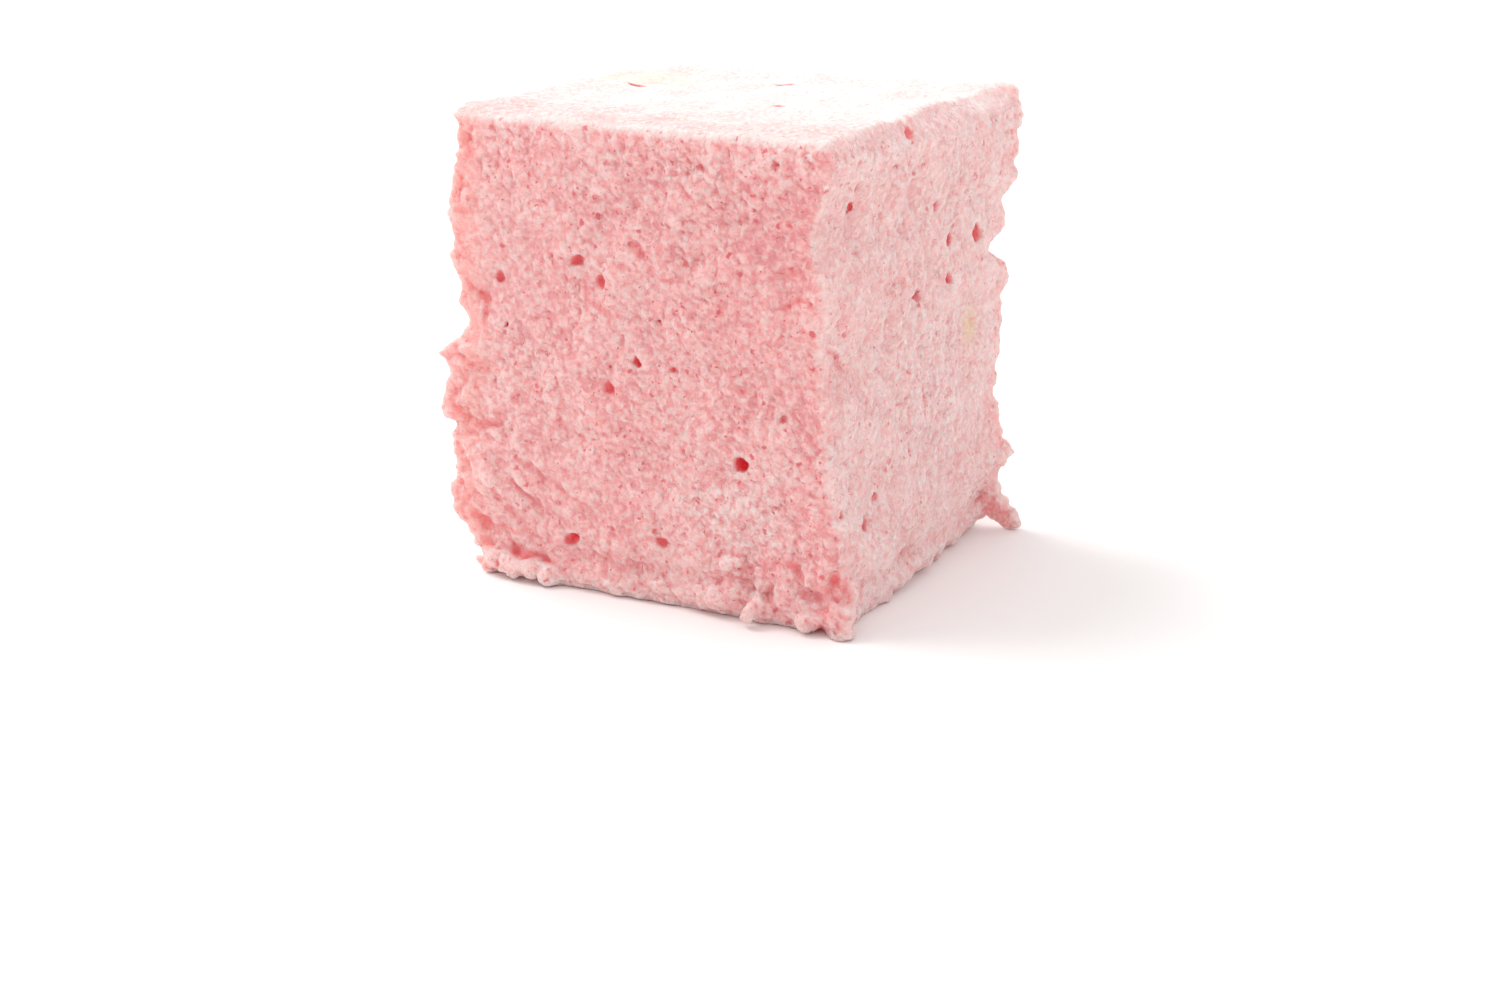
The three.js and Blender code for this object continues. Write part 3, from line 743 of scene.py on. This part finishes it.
def hollowness(points, quads, normals):
    """How far each point lies below its smoothed surroundings, in millimetres."""
    start = quads.ravel()
    end = np.roll(quads, -1, axis=1).ravel()
    both, other = np.concatenate([start, end]), np.concatenate([end, start])
    count = np.maximum(np.bincount(both, minlength=len(points)), 1)
    smoothed = points.copy()
    for _ in range(HOLLOW_STEPS):
        mean = [np.bincount(both, smoothed[other, axis], len(points)) / count for axis in range(3)]
        smoothed = (1 - HOLLOW_STEP) * smoothed + HOLLOW_STEP * np.stack(mean, axis=1)
    return np.sum((smoothed - points) * normals, axis=1)


def depth_below(field, points):
    """How deep points lie in what has been carved out."""
    place = (points - field.low) / VOXEL
    cell = np.clip(np.floor(place).astype(int), 0, np.array(field.skin.shape) - 2)
    above = between_corners(place - cell, lambda offset: field.skin[tuple((cell + offset).T)])
    return np.clip(-above, 0.0, None)


def folds(points, size, salt):
    """Round lumps parted by creases that come and go: from 0 in a crease to about 1 on a lump."""
    first = np.abs(soft_noise(points, size, salt))
    second = np.abs(soft_noise(points + FINE_FOLD_SHIFT, FINE_FOLD_SIZE * size, salt + 1))
    return np.sqrt(first) * FOLD_SHARE + np.sqrt(second) * FINE_FOLD_SHARE


# ---- Regions of the surface
def near(points, centre=(0, 0, 0), reach=(0, 0, 0)):
    """1 in the middle of a region, falling to 0; an axis with no reach doesn't count."""
    spans = zip(points.T, centre, reach)
    return np.exp(-sum(((place - middle) / span) ** 2 for place, middle, span in spans if span))


def furrow_waves(points):
    """Ridges and furrows, from 1 to -1, that run in arcs."""
    x, y, z = points.T
    from_x, from_z = x - FURROW_MIDDLE[0], z - FURROW_MIDDLE[1]
    along = FURROW_RADIUS * np.arctan2(from_z, from_x)
    arcs = np.stack([np.hypot(from_x, from_z), along, y], axis=1)
    return soft_noise(arcs, FURROW_SIZE, 60)


# Turns the noise so that none of its planes lies along a face
LATTICE_TURN = turn_matrix([0.36, 0.48, 0.8], 52)


def relief(points, normals):
    """How far the foam stands out at each point, in millimetres."""
    turned = points @ LATTICE_TURN
    wobble = np.stack([soft_noise(turned, GRAIN_SIZE, 90 + axis) for axis in range(3)], axis=1)
    grains = folds(turned + GRAIN_WOBBLE * wobble, GRAIN_SIZE, 10)
    clumps = layered_noise(turned + CLUMP_WOBBLE * wobble, CLUMP_SIZE, 30, CLUMP_LAYERS)
    patchy = PATCHY_MEAN + PATCHY_CHANGE * soft_noise(points, PATCHY_SIZE, 40)

    x, y, z = points.T
    upward = smoothstep(normals[:, 2], *RELIEF_UPWARD)
    height = patchy * GRAIN_HEIGHT * (grains - GRAIN_MEAN) + CLUMP_HEIGHT * clumps
    height *= lerp(1.0, TOP_SMOOTH, upward)
    drag = smoothstep(z, *DRAG_BAND) * (1 - upward)
    height += DRAG_HEIGHT * drag * soft_noise(points, DRAG_SIZE, 50)
    height += FURROW_HEIGHT * near(points, *FURROWED) * furrow_waves(points)

    edge_x, edge_y = np.maximum(WIDTH / 2 - np.abs(x), 0), np.maximum(DEPTH / 2 - np.abs(y), 0)
    ragged = bell(edge_x, RAGGED_BAND) * bell(edge_y, RAGGED_BAND)
    height += RAGGED_HEIGHT * ragged * soft_noise(points, RAGGED_SIZE, 70) * (1 - upward)
    height *= lerp(1.0, RIM_CALM, smoothstep(z, *RIM_BAND))
    return height * smoothstep(z, 0.0, FOOT_FADE)


def build_mesh():
    field = marshmallow_field()
    points, quads = mesh_from(field)
    points[:, 2] = np.maximum(points[:, 2], 0.0)
    normals = point_normals(points, quads)
    depth = depth_below(field, points)
    height = relief(points, normals) * (1 - HOLE_CALM * smoothstep(depth, *HOLE_BAND))
    # nearness to the creases, which the material paints with shade
    lines = np.full(len(points), np.inf)
    torn_points = points + CREASE_TORN * tearing(points)
    for string in field.creases:
        lines = np.minimum(lines, string_distance(string, torn_points))
    moved = points + normals * height[:, None]
    moved[:, 2] = np.maximum(moved[:, 2], 0.0)
    moved[points[:, 2] < BASE_LEVEL, 2] = 0.0
    return moved, quads, depth, bell(np.maximum(lines, 0), CREASE_SHADE_REACH)


def object_from(name, points, faces, attributes):
    mesh = bpy.data.meshes.new(name)
    mesh.from_pydata(points * MM, [], faces, shade_flat=False)
    mesh.validate()
    for key, values in attributes.items():
        layer = mesh.attributes.new(key, "FLOAT", "POINT")
        layer.data.foreach_set("value", values.astype(np.float32))
    made = bpy.data.objects.new(name, mesh)
    bpy.context.scene.collection.objects.link(made)
    return made


# ---- Material
def to_linear(*colour):
    """A colour given as it shows on a screen, from 0 to 255, as linear light."""
    shown = np.array(colour) / 255
    light = np.where(shown <= 0.04045, shown / 12.92, ((shown + 0.055) / 1.055) ** 2.4)
    return (*light, 1.0)


class Nodes:
    """Short calls for making and wiring shader nodes."""

    def __init__(self, tree):
        self.tree = tree
        tree.nodes.clear()

    def add(self, kind, inputs, **settings):
        node = self.tree.nodes.new(kind)
        for key, value in settings.items():
            setattr(node, key, value)
        for socket, value in inputs.items():
            if isinstance(value, bpy.types.NodeSocket):
                self.tree.links.new(value, node.inputs[socket])
            else:
                node.inputs[socket].default_value = value
        return node

    def math(self, operation, *values):
        return self.add("ShaderNodeMath", dict(enumerate(values)), operation=operation).outputs[0]

    def times(self, first, second):
        return self.math("MULTIPLY", first, second)

    def line(self, value, slope, start):
        return self.math("MULTIPLY_ADD", value, slope, start)

    def attribute(self, name):
        return self.add("ShaderNodeAttribute", {}, attribute_name=name).outputs["Fac"]

    def ramp(self, value, low, high):
        """Smoothly from 0 to 1 between two values."""
        inputs = {"Value": value, "From Min": low, "From Max": high}
        return self.add("ShaderNodeMapRange", inputs, interpolation_type="SMOOTHSTEP").outputs["Result"]

    def blend(self, share, first, second):
        inputs = {0: share, 6: first, 7: second}
        return self.add("ShaderNodeMix", inputs, data_type="RGBA").outputs[2]

    def noise(self, place, size, detail, rough, output="Fac"):
        inputs = {"Vector": place, "Scale": 1 / size, "Detail": detail, "Roughness": rough}
        return self.add("ShaderNodeTexNoise", inputs).outputs[output]

    def crumbs(self, place, size, spread, slope):
        """Round crumbs with grooves between them: 1 on a crown, falling to about 0 in a groove."""
        inputs = {"Vector": place, "Scale": 1 / size, "Smoothness": spread}
        node = self.add("ShaderNodeTexVoronoi", inputs, feature="SMOOTH_F1")
        return self.math("SUBTRACT", 1.0, self.times(node.outputs["Distance"], slope))

    def pits(self, place, size, widest):
        """Small pits of all widths, one in a cell, with most of the cells nearly bare."""
        node = self.add("ShaderNodeTexVoronoi", {"Vector": place, "Scale": 1 / size})
        parts = self.add("ShaderNodeSeparateColor", {"Color": node.outputs["Color"]})
        reach = self.times(self.math("POWER", parts.outputs[0], PIT_RARITY), widest)
        return self.ramp(node.outputs["Distance"], reach, self.times(reach, PIT_FLOOR))


CROWN_HIGHLIGHT = to_linear(243, 199, 197)  # painted highlight on the crowns of the crumbs
ROSY = to_linear(241, 178, 176)  # body of the foam
CREVICE_SHADE = to_linear(224, 120, 130)  # painted shade between the crumbs
GREYER = to_linear(228, 196, 188)  # greyer patches, scattered at random
# white of the starch, and of the painted highlight along the top edge and over the top
STARCH_AND_HIGHLIGHT = to_linear(243, 236, 233)
PIT_SHADE = to_linear(233, 118, 120)  # painted shade inside burst bubbles, hollows, furrows and deep creases
SPECK_SHADE = to_linear(218, 98, 106)  # painted shade in the small pits
DEEP_SHADE_AND_GLOW = to_linear(236, 62, 74)  # painted shade at the bottom of the deepest holes, and the colour of their painted glow
STAIN = to_linear(226, 204, 140)
LIT = to_linear(255, 186, 178)  # thin foam of the upright edges, lit through from behind

# Noises: [size, detail, roughness]
WOBBLE_NOISE, WOBBLE_REACH = (0.45, 2.0, 0.55), 0.55  # it moves crumbs and pits about by so many mm
BROKEN_NOISE, BROKEN_RISE = (0.37, 1.0, 0.55), 1.0
FINE_NOISE, FINE_RISE = (0.2, 2.0, 0.6), 0.05
GREY_NOISE, GREY_BAND, GREY_SHARE = (0.5, 3.0, 0.6), (0.50, 0.66), 0.4
MOTTLE_NOISE, MOTTLE_SHARE = (5.0, 3.0, 0.6), 0.7  # slow changes from paler to pinker foam
FLECK_NOISE, FLECK_BAND, FLECK_DUST = (0.5, 4.0, 0.62), (0.60, 0.82), 0.32
CRUMB_SHAPE, CRUMB_LOOK_RISE = (0.46, 0.4, 1.2), 0.35  # size, how soft they meet, slope
PITS = ((0.9, 0.35), (0.5, 0.30))  # cell and widest pit of the coarser and the finer ones
PIT_RARITY, PIT_FLOOR, PIT_SINK, PIT_SHARE = 1.9, 0.35, -0.35, 0.78
BUMP_DISTANCE, CRUMB_BUMP, BROKEN_BUMP = 0.6, 0.5, 0.25
LEVEL_MEAN = 0.6 * CRUMB_LOOK_RISE + 0.5 * BROKEN_RISE + 0.5 * FINE_RISE
HOLLOW_SHADE_LEVEL, PAINTED_SHADE_LEVEL = -0.28, -0.14  # how much painted shade, a redder pink, hollow foam and the painted-shade regions get
# levels at which the painted highlight on the crowns and the painted shade in the crevices set in, and the
# shade's share
PALE_BAND, CREVICE_BAND, CREVICE_SHARE = (0.84, 1.2), (0.94, 0.52), 0.46
# Depths, in millimetres, over which a hole is painted with shade, with deeper shade and with a painted glow
PIT_BAND, DEEP_BAND, GLOW_BAND, HOLE_GLOW = (0.07, 0.45), (0.45, 0.95), (0.15, 0.9), 0.10
# hollows and creases are painted with shade; stains are the foam's own colour
HOLLOW_BAND, HOLLOW_SHARE, CREASE_SHARE, STAIN_SHARE = (0.45, 1.1), 0.6, 0.5, 0.5
SMOOTH_PITS, SMOOTH_STARCH, SMOOTH_BUMP = (-0.8, 1.0), (0.5, 0.5), (-0.6, 1.0)  # on smooth foam
BASE_ROUGHNESS, STARCH_ROUGHNESS = 0.8, 0.12
SSS_WEIGHT, SSS_RADIUS, SSS_SCALE = 0.6, (1.0, 0.42, 0.38), 2.2


def new_material(name, inputs_from):
    """A material whose shader has the inputs that a function makes of its nodes."""
    material = bpy.data.materials.new(name)
    material.use_nodes = True
    nodes = Nodes(material.node_tree)
    shader = nodes.add("ShaderNodeBsdfPrincipled", inputs_from(nodes))
    nodes.add("ShaderNodeOutputMaterial", {"Surface": shader.outputs[0]})
    return material


def foam_inputs(nodes):
    inputs = {0: nodes.add("ShaderNodeTexCoord", {}).outputs["Object"], "Scale": 1 / MM}
    place = nodes.add("ShaderNodeVectorMath", inputs, operation="SCALE").outputs[0]

    # places moved about a little, so that no pit or crumb is round
    inputs = {0: nodes.noise(place, *WOBBLE_NOISE, "Color"), 1: (WOBBLE_REACH,) * 3, 2: place}
    wobbled = nodes.add("ShaderNodeVectorMath", inputs, operation="MULTIPLY_ADD").outputs[0]

    depth, hollow, crease = (nodes.attribute(name) for name in ("depth", "hollow", "crease"))
    dust, painted_shade, starch_veil_and_highlight, smooth, stain, lit = (nodes.attribute(name) for name in LOOKS)

    crumbs = nodes.crumbs(wobbled, *CRUMB_SHAPE)
    broken = nodes.noise(wobbled, *BROKEN_NOISE)
    pits = nodes.math("MAXIMUM", *(nodes.pits(wobbled, *shape) for shape in PITS))
    pits = nodes.times(pits, nodes.line(smooth, *SMOOTH_PITS))

    # level of the fine relief: low between the crumbs and in the pits
    height = nodes.times(crumbs, CRUMB_LOOK_RISE)
    height = nodes.line(broken, BROKEN_RISE, height)
    height = nodes.line(nodes.noise(place, *FINE_NOISE), FINE_RISE, height)
    height = nodes.line(pits, PIT_SINK, height)
    level = nodes.times(height, 1 / LEVEL_MEAN)
    mottle = nodes.math("SUBTRACT", nodes.noise(place, *MOTTLE_NOISE), 0.5)
    level = nodes.line(mottle, MOTTLE_SHARE, level)
    # hollows and the painted-shade regions lower the level, so they get more painted shade
    level = nodes.line(hollow, HOLLOW_SHADE_LEVEL, level)
    level = nodes.line(painted_shade, PAINTED_SHADE_LEVEL, level)

    # starch lies in flecks on the crowns, thickest in its own patches
    flecks = nodes.line(dust, FLECK_DUST, nodes.noise(wobbled, *FLECK_NOISE))
    powder_and_highlight = nodes.times(nodes.ramp(flecks, *FLECK_BAND), nodes.line(smooth, *SMOOTH_STARCH))
    # the white also takes the veil: starch on the lip and the right face, painted highlight along the top
    # edge, and on the top partly painted light
    powder_and_highlight = nodes.math("MAXIMUM", powder_and_highlight, starch_veil_and_highlight)

    # colour: painted highlight, a paler pink, on the crowns; painted shade, a redder pink, in the crevices,
    # hollows, creases and holes; each layer covers a share of those below
    grey_patches = nodes.ramp(nodes.noise(place, *GREY_NOISE), *GREY_BAND)
    low = nodes.times(nodes.ramp(level, *CREVICE_BAND), CREVICE_SHARE)
    sunk = nodes.times(nodes.ramp(hollow, *HOLLOW_BAND), HOLLOW_SHARE)
    colour = ROSY
    for share, paint in (
        (nodes.ramp(level, *PALE_BAND), CROWN_HIGHLIGHT),
        (nodes.times(grey_patches, GREY_SHARE), GREYER),
        (nodes.times(low, nodes.math("SUBTRACT", 1.0, smooth)), CREVICE_SHADE),
        (powder_and_highlight, STARCH_AND_HIGHLIGHT),
        (nodes.times(pits, PIT_SHARE), SPECK_SHADE),
        (nodes.math("MAXIMUM", nodes.ramp(depth, *PIT_BAND), sunk), PIT_SHADE),
        (nodes.times(crease, CREASE_SHARE), PIT_SHADE),
        (nodes.ramp(depth, *DEEP_BAND), DEEP_SHADE_AND_GLOW),
        (nodes.times(stain, STAIN_SHARE), STAIN),
        (lit, LIT),
    ):
        colour = nodes.blend(share, colour, paint)

    rise = nodes.line(crumbs, CRUMB_BUMP, nodes.times(broken, BROKEN_BUMP))
    rise = nodes.times(rise, nodes.line(smooth, *SMOOTH_BUMP))
    inputs = {"Strength": 1.0, "Distance": BUMP_DISTANCE * MM, "Height": rise}
    return {
        "Base Color": colour,
        "Roughness": nodes.line(powder_and_highlight, STARCH_ROUGHNESS, BASE_ROUGHNESS),
        "Normal": nodes.add("ShaderNodeBump", inputs).outputs[0],
        "Subsurface Weight": SSS_WEIGHT,
        "Subsurface Radius": SSS_RADIUS,
        "Subsurface Scale": SSS_SCALE * MM,
        "Specular IOR Level": 0.2,
        "Emission Color": DEEP_SHADE_AND_GLOW,  # painted glow, standing in for light that reaches the holes through the foam round them
        "Emission Strength": nodes.times(nodes.ramp(depth, *GLOW_BAND), HOLE_GLOW),
        "Sheen Weight": 0.1,
        "Sheen Roughness": 0.6,
    }


# ---- What the material reads at every point of the surface, from 0 to 1. The rows of each are added
# up: part of the surface, share, and the middle and reach of a region where there is one
LOOKS = {
    "dust": (
        ("front", 0.75, (7.2, 0, 8), (5, 0, 4)),
        ("front", 0.65, (-4, 0, 0.4), (7, 0, 0.8)),
        ("right", 0.3, (0, 2, 14), (0, 9, 9)),
        ("right", 0.3, (0, -9, 4), (0, 6, 6)),
        ("right", 0.22), ("top", 0.62), ("powdered top", 0.16), ("streaked top", 0.2),
        ("hanging streaks", 0.8), ("hidden", 0.25), ("hidden patches", 0.25),
    ),
    # painted shade: redder, darker foam at the top right and at the foot on the right of the front, and
    # down the near edge
    "painted_shade": (
        ("front", 0.8, (11.5, 0, 27), (5, 0, 8)),
        ("front", 0.7, (10.5, 0, 3.4), (4, 0, 1.8)),
        ("all", 0.6, (15, -DEPTH / 2, 20), (1, 1, 14)),
    ),
    # a white veil: starch on the lip and the right face, painted highlight along the top edge of the front
    # and the rim of the top, and on the top partly starch, partly painted light
    "starch_veil_and_highlight": (
        ("front", 0.14, (-4, 0, 0.5), (7, 0, 0.8)),
        ("right", 0.1, (0, 13, 26), (0, 5, 12)),
        ("top", 0.4, (0, -DEPTH / 2, 0), (0, 0.7, 0)),
        ("right", 0.22), ("right patches", 0.15), ("top", 0.26), ("far top", 0.4), ("rim", 0.5),
    ),
    "smooth": (("top", 0.45), ("far top", 0.45), ("right", 0.25), ("front left", 0.15)),
    "stain": (
        ("right", 1, (0, 7.8, 17.9), (0, 0.9, 1.3)),
        ("top", 0.5, (-12, 6, 0), (4, 3, 0)),
    ),
    "lit": (
        ("all", 0.45, (-WIDTH / 2, -DEPTH / 2, 0), (1.5, 1.5, 0)),
        ("all", 0.3, (WIDTH / 2, DEPTH / 2, 0), (0.9, 0.9, 0)),
    ),
}
# Spans of the normals and places over which the parts of the surface set in
SIDEWARD, UPWARD, POWDERED, FAR = (0.3, 0.8), (0.5, 0.85), (-14.0, -4.0), (-13.0, 0.0)
LEFTWARD, RIM, FRONT_HANG, RIGHT_HANG = (0.0, 10.0), (34.25, 34.65), (31.5, 34.6), (28.5, 33.5)
RIGHT_HANG_SHARE, STREAK_MEAN, STREAK_CHANGE = 0.7, 0.4, 0.6
TOP_STREAKS, HANGING_STREAKS = (4.0, 0.9, 2.0), (0.5, 0.5, 2.4)  # sizes of the streaks of starch
RIGHT_PATCH, HIDDEN_PATCH = 1.2, 9.0  # sizes of barer and whiter patches


def surface_parts(points, normals):
    """How far each point belongs to each part, from 0 to 1; streaks and patches go down to -1."""
    x, y, z = points.T
    front, right = smoothstep(-normals[:, 1], *SIDEWARD), smoothstep(normals[:, 0], *SIDEWARD)
    top = smoothstep(normals[:, 2], *UPWARD) * (1 - right)
    hidden = (1 - front) * (1 - right) * (1 - top)
    hang = smoothstep(z, *FRONT_HANG) * front + RIGHT_HANG_SHARE * smoothstep(z, *RIGHT_HANG) * right
    streaks = STREAK_MEAN + STREAK_CHANGE * soft_noise(points, HANGING_STREAKS, 82)
    return {
        "all": 1.0,
        "front": front,
        "front left": front * smoothstep(-x, *LEFTWARD),
        "right": right,
        "right patches": right * soft_noise(points @ LATTICE_TURN, RIGHT_PATCH, 83),
        "top": top,
        "powdered top": top * smoothstep(y, *POWDERED),
        "streaked top": top * soft_noise(points, TOP_STREAKS, 81),
        "far top": top * smoothstep(y, *FAR),
        "rim": smoothstep(z, *RIM) * (1 - top) * (1 - right),
        "hanging streaks": (1 - top) * hang * np.clip(streaks, 0, 1),
        "hidden": hidden,
        "hidden patches": hidden * soft_noise(points, HIDDEN_PATCH, 80),
    }


def surface_attributes(points, quads, depth, crease):
    normals = point_normals(points, quads)
    parts = surface_parts(points, normals)
    looks = {}
    for look, rows in LOOKS.items():
        total = sum(share * parts[part] * near(points, *region) for part, share, *region in rows)
        looks[look] = np.clip(total, 0, 1)
    torn = near(points, *TORN_CORNER)
    # the troughs of the furrows and the torn corner are painted with shade, as the creases are
    furrows = near(points, *FURROWED) * parts["front"] * smoothstep(-furrow_waves(points), *FURROW_BAND)
    crease = np.maximum(crease, np.maximum(FURROW_SHADE * furrows, TORN_SHADE * torn))
    depth = depth * (1 - TORN_PALER * torn)
    redder = np.maximum(depth, np.minimum(TOP_PIT_DEEPER * depth, TOP_PIT_MOST))
    depth = lerp(depth, redder, smoothstep(points[:, 2], *TOP_PITS))
    hollow = np.clip(hollowness(points, quads, normals) / HOLLOW_FULL, -1, 1)
    return {**looks, "crease": crease, "depth": depth, "hollow": hollow * (1 - TOP_CALM * parts["top"])}


# ---- The scene round it
CAMERA_AZIMUTH, CAMERA_PITCH, CAMERA_DISTANCE = 28.15, 17.80, 195.7
CAMERA_RIGHT, CAMERA_UP = 0.57, 3.75  # mm that the camera stands aside from the axis to the origin
CAMERA_LENS, CAMERA_SENSOR, CAMERA_CLIP = 60.14, 36.0, (0.005, 20.0)
FLOOR_HALF, WORLD_LIGHT = 3000, 0.975


def add_camera():
    azimuth, pitch = math.radians(CAMERA_AZIMUTH), math.radians(CAMERA_PITCH)
    right = Vector((math.cos(azimuth), math.sin(azimuth), 0))
    level = Vector((math.sin(azimuth), -math.cos(azimuth), 0))
    back = level * math.cos(pitch) + Vector((0, 0, math.sin(pitch)))
    up = back.cross(right)
    data = bpy.data.cameras.new("camera")
    data.lens, data.sensor_width, data.sensor_fit = CAMERA_LENS, CAMERA_SENSOR, "HORIZONTAL"
    data.clip_start, data.clip_end = CAMERA_CLIP
    camera = bpy.data.objects.new("camera", data)
    place = (back * CAMERA_DISTANCE + right * CAMERA_RIGHT + up * CAMERA_UP) * MM
    camera.matrix_world = Matrix.Translation(place) @ Matrix((right, up, back)).transposed().to_4x4()
    bpy.context.scene.collection.objects.link(camera)
    bpy.context.scene.camera = camera


def add_light(name, kind, place, **settings):
    """A light at a place in metres, turned to the middle of the block."""
    data = bpy.data.lights.new(name, kind)
    for key, value in settings.items():
        setattr(data, key, value)
    light = bpy.data.objects.new(name, data)
    light.location = place
    middle = Vector((0, 0, HEIGHT / 2 * MM))
    light.rotation_euler = (middle - Vector(place)).to_track_quat("-Z", "Y").to_euler()
    bpy.context.scene.collection.objects.link(light)


def add_floor():
    corners = [[x, y, 0] for x, y in ((-1, -1), (1, -1), (1, 1), (-1, 1))]
    floor = object_from("floor", FLOOR_HALF * np.array(corners), [[0, 1, 2, 3]], {})
    white = {"Base Color": (0.96, 0.957, 0.95, 1.0), "Roughness": 0.7, "Specular IOR Level": 0.2}
    floor.data.materials.append(new_material("floor_white", lambda nodes: white))


def add_world():
    world = bpy.data.worlds.new("soft_white")
    world.use_nodes = True
    inputs = world.node_tree.nodes["Background"].inputs
    inputs["Color"].default_value = (1.0, 1.0, 1.0, 1.0)
    inputs["Strength"].default_value = WORLD_LIGHT
    bpy.context.scene.world = world


add_camera()
add_world()
overhead = {"energy": 1.15, "angle": math.radians(30), "color": (1.0, 0.99, 0.97)}
add_light("overhead", "SUN", (-0.24, -0.04, 0.34), **overhead)
behind = {"shape": "DISK", "size": 0.2, "energy": 0.4, "color": (1.0, 0.98, 0.96)}
add_light("behind_left", "AREA", (-0.30, 0.12, 0.12), **behind)
add_floor()
bpy.context.scene.view_settings.view_transform = "Standard"

points, quads, depth, crease = build_mesh()
body = object_from("marshmallow_body", points, quads, surface_attributes(points, quads, depth, crease))
body.data.materials.append(new_material("marshmallow_foam_look", foam_inputs))
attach(body, "root")
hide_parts("marshmallow")
